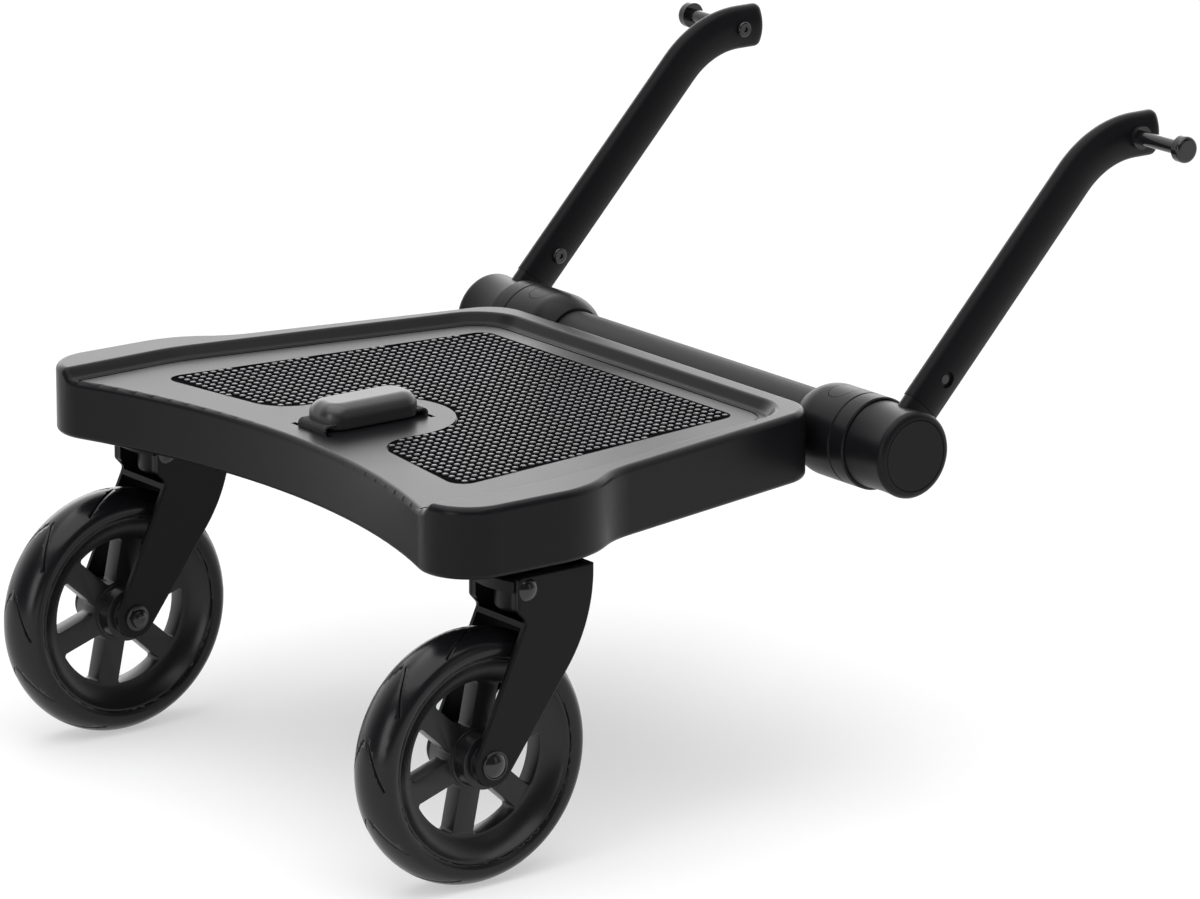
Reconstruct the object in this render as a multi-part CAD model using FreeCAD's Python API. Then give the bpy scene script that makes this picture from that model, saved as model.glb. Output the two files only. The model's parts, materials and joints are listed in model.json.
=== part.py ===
import FreeCAD, Part
import math
import os
from FreeCAD import Vector

# A buggy board: a ride-on platform that trails behind a pushchair.
# Two swivel casters carry the rear of the deck, and two folding arms with
# mushroom studs hang its front on the pushchair's axle.
# Millimetres. +X is the rider's right, +Y is forward towards the pushchair and +Z is up.
# While it is drawn, Y is measured from the rear corners of the tread and Z from the floor.

# Overrun that lets a cutting solid pass its target, and the clearances of the fits.
overrun = 5.0
seat_clearance = 0.02
running_clearance = 0.05
slide_clearance = 0.3
face_gap = 0.3

# Wheel and tyre.
wheel_radius = 70.0
tyre_half_width = 15.5
tyre_depth = 14.0
tyre_bulge_drop = 9.0
tyre_shoulder_drop = 4.6
tyre_shoulder_half = 12.8
tyre_foot_half = 14.3
rim_half_width = 14.0
rim_lip = 1.2
rim_well_depth = 13.0
rim_web_half = 5.5
rim_land = 0.8
spoke_count = 6
spoke_lean = 12.0
spoke_width = 13.5
spoke_corner_radius = 1.8
hub_radius = 15.0
hub_half_length = 15.5
hub_flange_radius = 17.5
hub_flange = 1.0
hub_nose_radius = 10.5
wheel_bush_radius = 6.5
wheel_bush_length = 12.0

# Axle.
axle_radius = 4.0
axle_head_radius = 7.7
axle_head_height = 3.3
axle_nut_radius = 7.0
axle_nut_height = 5.0
axle_tail_share = 0.8
axle_bore_share = 0.85

# Caster: places of the swivel, the suspension pivot and the fork's outline.
caster_inset = 30.1
swivel_y = 62.0
caster_trail = 35.5
caster_headroom = 34.5
pivot_back = 13.2
pivot_drop = 12.6
fork_half_width = 22.5
fork_wall = 3.0
fork_eye_radius = 12.2
fork_front_angle = 53.3
fork_rear_angle = 65.2
fork_front_reach = 29.9
fork_knee_radius = 85.0
fork_top_gap = 5.0
fork_tab_back = 6.4
fork_tab_drop = 11.4
fork_notch_depth = 5.2
fork_notch_drop = 5.0
fork_corner_radius = 3.0
fork_edge_radius = 1.2
fork_web = 3.5
tyre_clearance = 3.5
bridge_thickness = 3.0

# Pivot rivets of the fork.
rivet_radius = 3.0
rivet_head_radius = 6.1
rivet_head_height = 2.6
rivet_tail = 1.0

# Swivel bracket, its stem, clip and bush, and the rubber buffer.
bracket_gap = 0.4
bracket_ear = 3.2
bracket_plate = 6.0
bracket_plate_drop = 8.0
bracket_back_radius = 50.0
bracket_back_reach = 24.3
bracket_front_reach = 21.0
bracket_ear_front = 9.0
bracket_ear_drop = 13.0
bracket_boss_radius = 15.5
bracket_boss_drop = 29.0
bracket_boss_round = 3.0
bracket_collar_radius = 12.0
stem_radius = 6.0
stem_inset = 3.0
stem_neck_radius = 4.9
bush_radius = 11.0
bush_flange_radius = 15.0
bush_flange = 1.5
bush_length = 20.0
clip_radius = 9.0
clip_thickness = 1.4
clip_slot_width = 7.0
stem_tip = 3.0
socket_wall = 4.0
buffer_width = 20.0
buffer_height = 14.0

# Deck tray.
deck_height = 39.0
lip_height = 5.5
deck_plate = 3.0
deck_wall = 3.0
wing_half = 198.5
wing_front_y = 86.5
waist_inset = 18.9
shoulder_length = 28.0
front_inset = 54.0
deck_front_y = 281.1
rear_mid_y = 27.0
rear_bow = 44.0
rear_corner_radius = 28.0
wing_curve_share = 0.95
front_corner_radius = 26.0
deck_top_round = 4.0
deck_bottom_round = 3.0
rear_edge_round = 3.5
lip_rear_inset = 37.5
lip_wing_inset = 29.5
lip_wing_y = 70.0
lip_front_inset = 11.0
lip_front_width = 17.8
lip_bend_radius = 120.0
lip_corner_radius = 26.0
lip_foot_round = 3.5
lip_slope = 5.0
groove_inset = 4.5
groove_width = 1.4
groove_depth = 0.5
rib_pitch = 44.0
rib_thickness = 2.4
rib_height = 19.0

# Tread mat with its notch for the grip.
mat_thickness = 1.6
mat_recess = 1.2
mat_gap = 0.6
mat_rear_inset = 21.5
mat_rear_gap = 14.0
mat_rear_rise_share = 0.145
mat_front_inset = 19.0
mat_front_gap = 17.3
mat_corner_radius = 9.0
notch_radius = 44.0
notch_y = 88.0
notch_mouth_radius = 26.0

# Grip block with its webbing strap and stop bars.
grip_width = 29.0
grip_length = 63.0
grip_height = 14.0
grip_y = 79.0
grip_corner_radius = 12.0
grip_top_round = 8.0
grip_bottom_round = 1.5
strap_width = 25.0
strap_thickness = 1.6
strap_rise = 2.6
strap_bend_radius = 3.0
strap_bar_radius = 2.5
strap_bar_overhang = 5.0
strap_loop_wall = 1.5
slot_width = 36.0
slot_length = 3.0
slot_spacing = 68.0
strap_bar_drop = 24.0

# Crossbar and the saddles that bolt it to the deck's front wall.
bar_radius = 18.4
bar_wall = 2.0
bar_gap = 8.1
bar_rise = 18.2
saddle_inset = 49.6
saddle_width = 34.0
saddle_height = 25.0
saddle_pad_depth = 7.0
saddle_bolt_radius = 3.0
saddle_bolt_spacing = 18.0
saddle_head_radius = 5.6
saddle_head_height = 3.2
saddle_nut_radius = 5.8
saddle_nut_height = 5.0

# Knuckle: housing, ring, hinge bolt, release button and its spring.
knuckle_radius = 26.0
knuckle_inset = 86.9
housing_length = 39.7
housing_neck_radius = 20.0
housing_dome_length = 15.0
bar_socket_depth = 12.0
ring_width = 12.0
ring_edge_round = 0.8
spigot_radius = 15.0
spigot_length = 11.0
bolt_radius = 4.0
bolt_head_radius = 6.5
bolt_head_height = 5.0
bolt_key_radius = 2.6
bolt_thread_length = 20.0
button_length = 24.0
button_width = 14.0
button_inset = 18.0
button_thickness = 5.0
button_travel = 2.6
button_stem_radius = 2.4
button_stem_length = 6.0
button_spring_radius = 3.6
button_spring_wall = 1.0
button_spring_length = 8.0

# Arm hub and its cap.
hub_gap = 0.5
arm_hub_length = 31.0
arm_hub_radius = 24.4
arm_hub_waist = 23.7
arm_hub_round = 4.0
cap_radius = 19.8
cap_thickness = 3.0
cap_seam = 0.3
cap_edge_round = 0.5

# Arm tube from the hub to the stud.
arm_seat = 12.2
arm_angle = 46.4
arm_offset = -1.3
arm_length = 208.7
arm_tip_length = 35.0
arm_bend_radius = 60.0
tube_height = 25.7
tube_width = 14.0
tube_end_radius = 5.0
tube_wall = 1.8
tube_start = 27.7
collar_step = 0.5
stub_length = 34.0
plug_length = 6.0
plug_round = 4.5
plug_depth = 9.0
screw_radius = 2.5
screw_head_radius = 4.6
screw_head_height = 2.2
screw_key_radius = 1.7
arm_screw_place = 47.3

# Mushroom stud at the arm's tip.
stud_setback = 10.65
stud_radius = 4.0
stud_length = 31.5
stud_collar_radius = 6.5
stud_collar = 2.5
stud_head_radius = 7.5
stud_head_length = 6.0
stud_head_round = 2.2

# Places that follow from the sizes above.
axle_z = wheel_radius
tyre_bulge_radius = wheel_radius - tyre_bulge_drop
tyre_shoulder_radius = wheel_radius - tyre_shoulder_drop
rim_radius = wheel_radius - tyre_depth
rim_lip_radius = rim_radius - rim_lip
rim_well_radius = rim_radius - rim_well_depth
wheel_y = swivel_y - caster_trail
deck_bottom = wheel_radius + wheel_radius + caster_headroom
lip_top = deck_bottom + deck_height
tread_z = lip_top - lip_height
plate_under = tread_z - deck_plate
waist_half = wing_half - waist_inset
waist_y = wing_front_y + shoulder_length
front_half = wing_half - front_inset
rear_corner_y = rear_mid_y - rear_bow
shoulder_slope = math.atan2(waist_inset, shoulder_length)
side_slope = math.atan2(front_inset - waist_inset, deck_front_y - waist_y)
shoulder_run = math.hypot(waist_inset, shoulder_length)
shoulder_turns = math.tan(shoulder_slope / 2) + math.tan((shoulder_slope - side_slope) / 2)
wing_curve_radius = shoulder_run * wing_curve_share / shoulder_turns
lip_rear_half = wing_half - lip_rear_inset
lip_wing_half = wing_half - lip_wing_inset
lip_front_half = front_half - lip_front_inset
lip_front_y = deck_front_y - lip_front_width
mat_rear_half = lip_rear_half - mat_rear_inset
mat_rear_y = rear_mid_y + mat_rear_gap
mat_front_half = lip_front_half - mat_front_inset
mat_front_y = lip_front_y - mat_front_gap
caster_half_track = wing_half - caster_inset
fork_inner = fork_half_width - fork_wall
pivot_y = swivel_y - pivot_back
pivot_z = deck_bottom - pivot_drop
fork_top = deck_bottom - fork_top_gap
fork_front_y = swivel_y + fork_front_reach
bracket_top = deck_bottom - bracket_plate_drop
bush_under = deck_bottom - bush_flange
socket_radius = bush_radius + socket_wall
bar_y = deck_front_y + bar_gap + bar_radius
bar_z = deck_bottom + bar_rise
housing_start = wing_half - knuckle_inset
housing_end = housing_start + housing_length
saddle_x = housing_start - saddle_inset
ring_end = housing_end + ring_width
hub_start = ring_end + hub_gap
hub_end = hub_start + arm_hub_length
arm_x = hub_start + arm_seat
slot_front_y = grip_y + slot_spacing / 2
slot_rear_y = grip_y - slot_spacing / 2
arm_dir = Vector(0, math.cos(math.radians(arm_angle)), math.sin(math.radians(arm_angle)))
arm_side = Vector(0, math.sin(math.radians(arm_angle)), -math.cos(math.radians(arm_angle)))
arm_foot = Vector(arm_x, bar_y, bar_z) + arm_side * arm_offset
arm_corner = arm_foot + arm_dir * arm_length
arm_bend_tangent = arm_bend_radius * math.tan(math.radians(arm_angle / 2))
arm_end_y = arm_corner.y + arm_tip_length
stud_y = arm_end_y - stud_setback
stud_z = arm_corner.z
front_reach = arm_end_y + plug_length
rear_reach = wheel_y - wheel_radius
origin_y = (front_reach + rear_reach) / 2


def box(x0, x1, y0, y1, z0, z1):
    """A block between two opposite corners."""
    return Part.makeBox(x1 - x0, y1 - y0, z1 - z0, Vector(x0, y0, z0))


def rod_x(y, z, radius, x0, x1):
    """A round bar along X."""
    return Part.makeCylinder(radius, x1 - x0, Vector(x0, y, z), Vector(1, 0, 0))


def rod_y(x, z, radius, y0, y1):
    """A round bar along Y."""
    return Part.makeCylinder(radius, y1 - y0, Vector(x, y0, z), Vector(0, 1, 0))


def rod_z(x, y, radius, z0, z1):
    """A round bar along Z."""
    return Part.makeCylinder(radius, z1 - z0, Vector(x, y, z0), Vector(0, 0, 1))


def plan_prism(points, z0, z1):
    """A plan outline of straight sides, extruded from z0 up to z1."""
    corners = [Vector(x, y, z0) for x, y in points]
    face = Part.Face(Part.makePolygon(corners + corners[:1]))
    return face.extrude(Vector(0, 0, z1 - z0))


def side_prism(points, x0, x1):
    """A side outline in Y and Z, extruded from x0 to x1."""
    corners = [Vector(x0, y, z) for y, z in points]
    face = Part.Face(Part.makePolygon(corners + corners[:1]))
    return face.extrude(Vector(x1 - x0, 0, 0))


def turned(edges, y, z):
    """A closed profile of x and radius, turned about the X axis line at y and z."""
    face = Part.Face(Part.Wire(edges))
    solid = face.revolve(Vector(0, 0, 0), Vector(1, 0, 0), 360)
    solid.translate(Vector(0, y, z))
    return solid


def profile(*steps):
    """Joins points of (x, radius) by straight edges. A step of three values per point,
    (x, radius, (via x, via radius)), is reached by an arc through its via point."""
    edges = []
    for here, there in zip(steps, steps[1:] + steps[:1]):
        start = Vector(here[0], 0, here[1])
        end = Vector(there[0], 0, there[1])
        if len(there) == 3:
            via = Vector(there[2][0], 0, there[2][1])
            edges.append(Part.Arc(start, via, end).toShape())
        else:
            edges.append(Part.makeLine(start, end))
    return edges


def fillet(solid, radius, chosen):
    """Rounds the edges that the chosen test picks."""
    return solid.makeFillet(radius, [edge for edge in solid.Edges if chosen(edge)])


def at_height(z):
    """A test for edges that lie flat at one height."""
    def chosen(edge):
        size = edge.BoundBox
        return abs(size.ZMin - z) < seat_clearance and abs(size.ZMax - z) < seat_clearance
    return chosen


def upright_at(places):
    """A test for upright edges that stand at one of the places given as (|x|, y)."""
    def chosen(edge):
        size = edge.BoundBox
        upright = size.XLength < seat_clearance and size.YLength < seat_clearance
        near = [abs(abs(size.XMin) - x) + abs(size.YMin - y) < overrun / 2 for x, y in places]
        return upright and any(near)
    return chosen


def mirrored(shape):
    """The left-hand twin of a right-hand piece."""
    return shape.mirror(Vector(0, 0, 0), Vector(1, 0, 0))


def hexagon_rod(y, z, radius, x0, x1):
    """A hexagon bar along X."""
    corners = []
    for step in range(6):
        turn = math.radians(60 * step)
        corners.append((y + radius * math.cos(turn), z + radius * math.sin(turn)))
    return side_prism(corners, x0, x1)


def dome_x(y, z, radius, height, x0, outward):
    """A shallow dome with a flat base at x0, standing out along outward, +1 or -1."""
    ball = (radius * radius + height * height) / (2 * height)
    centre = x0 + outward * (height - ball)
    sphere = Part.makeSphere(ball, Vector(centre, y, z))
    keep = rod_x(y, z, ball, min(x0, x0 + outward * ball), max(x0, x0 + outward * ball))
    return sphere.common(keep)


# Deck

def deck_block():
    """The outer form of the tray, from its underside to the top of the lip."""
    side = [(wing_half, rear_corner_y), (wing_half, wing_front_y), (waist_half, waist_y),
            (front_half, deck_front_y)]
    corners = side + [(-x, y) for x, y in reversed(side)]
    points = [Vector(x, y, deck_bottom) for x, y in corners]
    edges = [Part.makeLine(a, b) for a, b in zip(points, points[1:])]
    edges.append(Part.Arc(points[-1], Vector(0, rear_mid_y, deck_bottom), points[0]).toShape())
    block = Part.Face(Part.Wire(edges)).extrude(Vector(0, 0, deck_height))
    block = fillet(block, wing_curve_radius, upright_at(side[1:3]))
    block = fillet(block, rear_corner_radius, upright_at(side[:1]))
    return fillet(block, front_corner_radius, upright_at(side[3:]))


def lip_outline(grow, z):
    """Face inside the lip's foot line, let out by grow, at one height. Its rear runs off the deck."""
    rear = rear_mid_y - wing_half
    side = [(lip_rear_half, rear), (lip_wing_half, lip_wing_y), (lip_front_half, lip_front_y)]
    pocket = plan_prism(side + [(-x, y) for x, y in reversed(side)], z, z + lip_height)
    pocket = fillet(pocket, lip_bend_radius, upright_at(side[1:2]))
    pocket = fillet(pocket, lip_corner_radius, upright_at(side[2:]))
    floor = [face for face in pocket.Faces if abs(face.CenterOfMass.z - z) < seat_clearance][0]
    return floor.makeOffset2D(grow, 2) if grow else floor


def lip_pocket():
    """The space inside the lip, with sloping sides, that leaves the tread at its floor."""
    floor = lip_outline(0, tread_z)
    mouth = lip_outline(lip_slope, lip_top)
    pocket = Part.makeLoft([floor.OuterWire, mouth.OuterWire], True, True)
    pocket = fillet(pocket, lip_foot_round, at_height(tread_z))
    return pocket.fuse(mouth.extrude(Vector(0, 0, overrun)))


def tread_groove():
    """The shallow groove on the tread that follows the lip."""
    outer = lip_outline(-groove_inset, tread_z - groove_depth)
    inner = lip_outline(-groove_inset - groove_width, tread_z - groove_depth)
    high = Vector(0, 0, groove_depth + overrun)
    return outer.extrude(high).cut(inner.extrude(high))


def mat_prism(grow, z0, z1):
    """The outline of the mat, let out by grow, between two heights."""
    rear_half = mat_rear_half + grow
    rear_y = mat_rear_y - grow
    half = [(rear_half, rear_y), (mat_front_half + grow, mat_front_y + grow)]
    middle = [(0, rear_y + rear_half * mat_rear_rise_share)]
    plate = plan_prism(half + [(-x, y) for x, y in reversed(half)] + middle, z0, z1)
    plate = fillet(plate, mat_corner_radius + grow, upright_at(half))
    reach = notch_radius - grow
    mouth_y = rear_y + (rear_half - reach) * mat_rear_rise_share
    notch = box(-reach, reach, mat_rear_y - overrun, notch_y, z0, z1)
    notch = notch.fuse(rod_z(0, notch_y, reach, z0, z1)).removeSplitter()
    plate = plate.cut(notch)
    return fillet(plate, notch_mouth_radius - grow, upright_at([(reach, mouth_y)]))


def deck_ribs(cavity_face):
    """The lattice of ribs under the tread, clear of the strap's well."""
    low = plate_under - rib_height
    half = rib_thickness / 2
    bars = []
    columns = int(wing_half / rib_pitch)
    for step in range(-columns, columns + 1):
        x = step * rib_pitch
        bars.append(box(x - half, x + half, -wing_half, deck_front_y, low, plate_under))
    rows = int(deck_front_y / rib_pitch)
    for step in range(1, rows + 1):
        y = step * rib_pitch
        bars.append(box(-wing_half, wing_half, y - half, y + half, low, plate_under))
    lattice = bars[0].multiFuse(bars[1:])
    room = cavity_face.extrude(Vector(0, 0, plate_under - deck_bottom))
    well_half = slot_width / 2 + strap_bar_overhang + slide_clearance + rib_thickness
    well_reach = strap_bar_radius + strap_loop_wall + rib_thickness
    well = box(-well_half, well_half, slot_rear_y - well_reach, slot_front_y + well_reach, low, plate_under)
    return lattice.common(room).cut(well)


def deck_tray():
    """The moulded tray: tread, lip, side walls, ribs and the sockets of the casters."""
    block = deck_block()
    under = [face for face in block.Faces if abs(face.CenterOfMass.z - deck_bottom) < seat_clearance][0]
    cavity_face = under.makeOffset2D(-deck_wall)
    block = fillet(block, deck_top_round, at_height(lip_top))
    block = fillet(block, deck_bottom_round, at_height(deck_bottom))
    tray = block.cut(lip_pocket())
    tray = fillet(tray, rear_edge_round, rear_tread_edge)
    tray = tray.cut(tread_groove())
    tray = tray.cut(cavity_face.extrude(Vector(0, 0, plate_under - deck_bottom)))
    tray = tray.fuse(deck_ribs(cavity_face))
    for side in (1, -1):
        x = side * caster_half_track
        tray = tray.fuse(rod_z(x, swivel_y, socket_radius, deck_bottom, plate_under))
        tray = tray.cut(rod_z(x, swivel_y, bush_radius + seat_clearance, deck_bottom - overrun, plate_under))
        pad_x = side * saddle_x
        pad_low = bar_z - saddle_height / 2
        pad_rear = deck_front_y - deck_wall - saddle_pad_depth
        pad = box(pad_x - saddle_width / 2, pad_x + saddle_width / 2, pad_rear, deck_front_y - deck_wall,
                  pad_low, plate_under)
        tray = tray.fuse(pad)
        for bolt_x in bolt_places(pad_x):
            hole = saddle_bolt_radius + slide_clearance
            nut_room = saddle_nut_radius + slide_clearance
            rear = pad_rear - saddle_nut_height - overrun
            tray = tray.cut(rod_y(bolt_x, bar_z, hole, rear, deck_front_y + overrun))
            tray = tray.cut(rod_y(bolt_x, bar_z, nut_room, rear, pad_rear))
    tray = tray.cut(mat_prism(mat_gap, tread_z - mat_recess, tread_z + overrun))
    for y in (slot_front_y, slot_rear_y):
        tray = tray.cut(box(-slot_width / 2, slot_width / 2, y - slot_length / 2, y + slot_length / 2,
                            plate_under - overrun, tread_z + overrun))
    return tray


def rear_tread_edge(edge):
    """Picks the long curved edge where the tread runs out to the rear wall."""
    size = edge.BoundBox
    level = abs(size.ZMin - tread_z) < seat_clearance and abs(size.ZMax - tread_z) < seat_clearance
    return level and size.XLength > lip_rear_half and size.YMax < rear_mid_y + overrun


def tread_mat():
    """The rubber mat that lies in a shallow recess of the tread."""
    floor = tread_z - mat_recess
    return mat_prism(0, floor, floor + mat_thickness)


# Grip

def grip_block():
    """The moulded grip that lies between the two strap slots."""
    half_width = grip_width / 2
    half_length = grip_length / 2
    low = tread_z + face_gap
    block = box(-half_width, half_width, grip_y - half_length, grip_y + half_length, low, low + grip_height)
    block = fillet(block, grip_corner_radius, upright_at([(half_width, grip_y - half_length),
                                                          (half_width, grip_y + half_length)]))
    block = fillet(block, grip_top_round, at_height(low + grip_height))
    block = fillet(block, grip_bottom_round, at_height(low))
    room = strap_width / 2 + seat_clearance
    tunnel_low = tread_z + strap_rise - seat_clearance
    tunnel_high = tread_z + strap_rise + strap_thickness + seat_clearance
    tunnel = box(-room, room, grip_y - grip_length, grip_y + grip_length, tunnel_low, tunnel_high)
    return block.cut(tunnel)


def grip_strap():
    """The webbing: through the grip, down both slots and round the stop bars."""
    half = strap_width / 2
    front = slot_front_y + strap_thickness / 2
    rear = slot_rear_y - strap_thickness / 2
    top = tread_z + strap_rise + strap_thickness
    bar_z_low = tread_z - strap_bar_drop
    outer = box(-half, half, rear, front, bar_z_low, top)
    inner = box(-half, half, rear + strap_thickness, front - strap_thickness, bar_z_low - overrun,
                top - strap_thickness)
    strap = fillet(outer, strap_bend_radius, top_corner(top, (front, rear)))
    inner_corners = top_corner(top - strap_thickness, (front - strap_thickness, rear + strap_thickness))
    strap = strap.cut(fillet(inner, strap_bend_radius - strap_thickness, inner_corners))
    for y in (slot_front_y, slot_rear_y):
        strap = strap.fuse(rod_x(y, bar_z_low, strap_bar_radius + strap_loop_wall, -half, half))
    bore = strap_bar_radius + seat_clearance
    for y in (slot_front_y, slot_rear_y):
        strap = strap.cut(rod_x(y, bar_z_low, bore, -half - overrun, half + overrun))
    return strap


def top_corner(z, places):
    """A test for edges along X at height z, at one of the Y places."""
    def chosen(edge):
        size = edge.BoundBox
        along = size.YLength < seat_clearance and size.ZLength < seat_clearance
        return along and abs(size.ZMin - z) < seat_clearance and any(
            abs(size.YMin - y) < seat_clearance for y in places)
    return chosen


def strap_bars():
    """The two bars that stop the strap from pulling out of its slots."""
    half = slot_width / 2 + strap_bar_overhang
    low = tread_z - strap_bar_drop
    return Part.Compound([rod_x(y, low, strap_bar_radius, -half, half) for y in (slot_front_y, slot_rear_y)])


# Crossbar

def bolt_places(x):
    """The two bolts of the saddle at x."""
    return (x - saddle_bolt_spacing / 2, x + saddle_bolt_spacing / 2)


def crossbar():
    """The tube across the front that carries both knuckles."""
    end = housing_start + bar_socket_depth
    bar = rod_x(bar_y, bar_z, bar_radius, -end, end)
    bar = bar.cut(rod_x(bar_y, bar_z, bar_radius - bar_wall, -end - overrun, end + overrun))
    for side in (1, -1):
        for x in bolt_places(side * saddle_x):
            bar = bar.cut(rod_y(x, bar_z, saddle_bolt_radius + slide_clearance, deck_front_y,
                                bar_y + bar_radius + overrun))
    return bar


def bar_saddles():
    """The two blocks, hollowed to the bar, between it and the deck's front wall."""
    saddles = []
    for side in (1, -1):
        x = side * saddle_x
        block = box(x - saddle_width / 2, x + saddle_width / 2, deck_front_y, bar_y,
                    bar_z - saddle_height / 2, bar_z + saddle_height / 2)
        block = block.cut(rod_x(bar_y, bar_z, bar_radius + seat_clearance, -wing_half, wing_half))
        block = [piece for piece in block.Solids if piece.CenterOfMass.y < bar_y][0]
        for bolt_x in bolt_places(x):
            block = block.cut(rod_y(bolt_x, bar_z, saddle_bolt_radius + slide_clearance,
                                    deck_front_y - overrun, bar_y))
        saddles.append(block)
    return Part.Compound(saddles)


def saddle_bolts():
    """Bolts through the bar and the saddle, with heads shaped to the front of the bar."""
    bolts = []
    tail = deck_front_y - deck_wall - saddle_pad_depth - saddle_nut_height
    crown = bar_y + bar_radius + saddle_head_height
    round_bar = rod_x(bar_y, bar_z, bar_radius + seat_clearance, -wing_half, wing_half)
    for side in (1, -1):
        for x in bolt_places(side * saddle_x):
            head = rod_y(x, bar_z, saddle_head_radius, bar_y, crown).cut(round_bar)
            shank = rod_y(x, bar_z, saddle_bolt_radius, tail, crown)
            bolts.append(head.fuse(shank).removeSplitter())
    return Part.Compound(bolts)


def saddle_nuts():
    """Hexagon nuts on the saddle bolts, inside the deck."""
    nuts = []
    seat = deck_front_y - deck_wall - saddle_pad_depth
    for side in (1, -1):
        for x in bolt_places(side * saddle_x):
            nut = hexagon_rod(0, 0, saddle_nut_radius, 0, saddle_nut_height)
            nut.rotate(Vector(0, 0, 0), Vector(0, 0, 1), 90)
            nut.translate(Vector(x, seat - saddle_nut_height, bar_z))
            bore = saddle_bolt_radius + seat_clearance
            nuts.append(nut.cut(rod_y(x, bar_z, bore, seat - saddle_nut_height - overrun, seat + overrun)))
    return Part.Compound(nuts)


# Knuckle, drawn for the right-hand side

def housing_body():
    """The bell-shaped form of the knuckle housing, without its wells."""
    dome_end = housing_start + housing_dome_length
    rise = knuckle_radius - housing_neck_radius
    bell = (housing_dome_length ** 2 + rise ** 2) / (2 * rise)
    half_turn = math.asin(housing_dome_length / bell) / 2
    via = (dome_end - bell * math.sin(half_turn), knuckle_radius - bell * (1 - math.cos(half_turn)))
    return turned(profile((housing_start, 0), (housing_start, housing_neck_radius),
                          (dome_end, knuckle_radius, via), (housing_end - ring_edge_round, knuckle_radius),
                          (housing_end, knuckle_radius - ring_edge_round), (housing_end, 0)), bar_y, bar_z)


def button_centre():
    """X of the middle of the release button."""
    return housing_start + button_inset + button_width / 2


def button_prism(grow, z0, z1):
    """The oval outline of the release button, let out by grow."""
    half = button_width / 2 + grow
    run = (button_length - button_width) / 2
    middle = button_centre()
    oval = box(middle - half, middle + half, bar_y - run, bar_y + run, z0, z1)
    for y in (bar_y - run, bar_y + run):
        oval = oval.fuse(rod_z(middle, y, half, z0, z1))
    return oval.removeSplitter()


def button_low():
    """Height of the underside of the button's cap at rest."""
    return bar_z + knuckle_radius - button_thickness


def knuckle_housing():
    """Housing on the bar's end, with the socket of the bar and the well of the button."""
    body = housing_body()
    body = body.cut(rod_x(bar_y, bar_z, bar_radius + seat_clearance, housing_start - overrun,
                          housing_start + bar_socket_depth + face_gap))
    floor = button_low() - button_travel - slide_clearance
    body = body.cut(button_prism(slide_clearance, floor, bar_z + knuckle_radius + overrun))
    pocket_low = button_low() - button_stem_length - button_spring_length
    body = body.cut(rod_z(button_centre(), bar_y, button_spring_radius + slide_clearance, pocket_low, floor))
    return body.cut(rod_x(bar_y, bar_z, bolt_radius + seat_clearance, housing_end - bolt_thread_length,
                          housing_end + overrun))


def release_button():
    """Push button flush with the housing, with a stem on the spring."""
    cap = button_prism(0, button_low(), bar_z + knuckle_radius + overrun).common(housing_body())
    stem = rod_z(button_centre(), bar_y, button_stem_radius, button_low() - button_stem_length, button_low())
    return cap.fuse(stem).removeSplitter()


def button_spring():
    """Sleeve that holds the space of the button's spring."""
    high = button_low() - button_stem_length
    low = high - button_spring_length
    sleeve = rod_z(button_centre(), bar_y, button_spring_radius, low, high)
    return sleeve.cut(rod_z(button_centre(), bar_y, button_spring_radius - button_spring_wall,
                            low - overrun, high + overrun))


def knuckle_ring():
    """Collar between the housing and the turning hub, with the bearing of the spigot."""
    bore = spigot_radius + running_clearance
    high = knuckle_radius - ring_edge_round
    ring = turned(profile((housing_end, bore), (housing_end, high),
                          (housing_end + ring_edge_round, knuckle_radius),
                          (ring_end - ring_edge_round, knuckle_radius), (ring_end, high), (ring_end, bore)),
                  bar_y, bar_z)
    return ring


def hinge_bolt():
    """Bolt that the arm's hub turns on, screwed into the housing."""
    seat = hub_end - cap_thickness - face_gap - bolt_head_height
    bolt = rod_x(bar_y, bar_z, bolt_radius, housing_end - bolt_thread_length, seat)
    bolt = bolt.fuse(rod_x(bar_y, bar_z, bolt_head_radius, seat, seat + bolt_head_height)).removeSplitter()
    return bolt.cut(hexagon_rod(bar_y, bar_z, bolt_key_radius, seat + bolt_head_height / 2,
                                seat + bolt_head_height + overrun))


# Arm, drawn for the right-hand side

def oval_face(centre, direction, inset):
    """Face of the tube's oval section, drawn in by inset, square to a direction in the YZ plane."""
    half_height = tube_height / 2 - inset
    half_width = tube_width / 2 - inset
    end = tube_end_radius - inset
    drop = half_height - end
    side = (drop * drop + half_width * half_width - end * end) / (2 * (half_width - end))
    across = Vector(1, 0, 0)
    up = direction.cross(across)
    tilt = math.atan2(drop, side - half_width)
    joint_across = side * math.cos(tilt) - (side - half_width)
    joint_up = side * math.sin(tilt)
    joint = {}
    for across_sign in (1, -1):
        for up_sign in (1, -1):
            joint[across_sign, up_sign] = (centre + across * (across_sign * joint_across)
                                           + up * (up_sign * joint_up))
    right = centre + across * half_width
    left = centre - across * half_width
    top = centre + up * half_height
    bottom = centre - up * half_height
    arcs = [Part.Arc(joint[1, -1], right, joint[1, 1]), Part.Arc(joint[1, 1], top, joint[-1, 1]),
            Part.Arc(joint[-1, 1], left, joint[-1, -1]), Part.Arc(joint[-1, -1], bottom, joint[1, -1])]
    return Part.Face(Part.Wire([arc.toShape() for arc in arcs]))


def oval_bar(start, end, inset):
    """Straight oval bar between two points."""
    run = end - start
    return oval_face(start, Vector(run).normalize(), inset).extrude(run)


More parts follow.
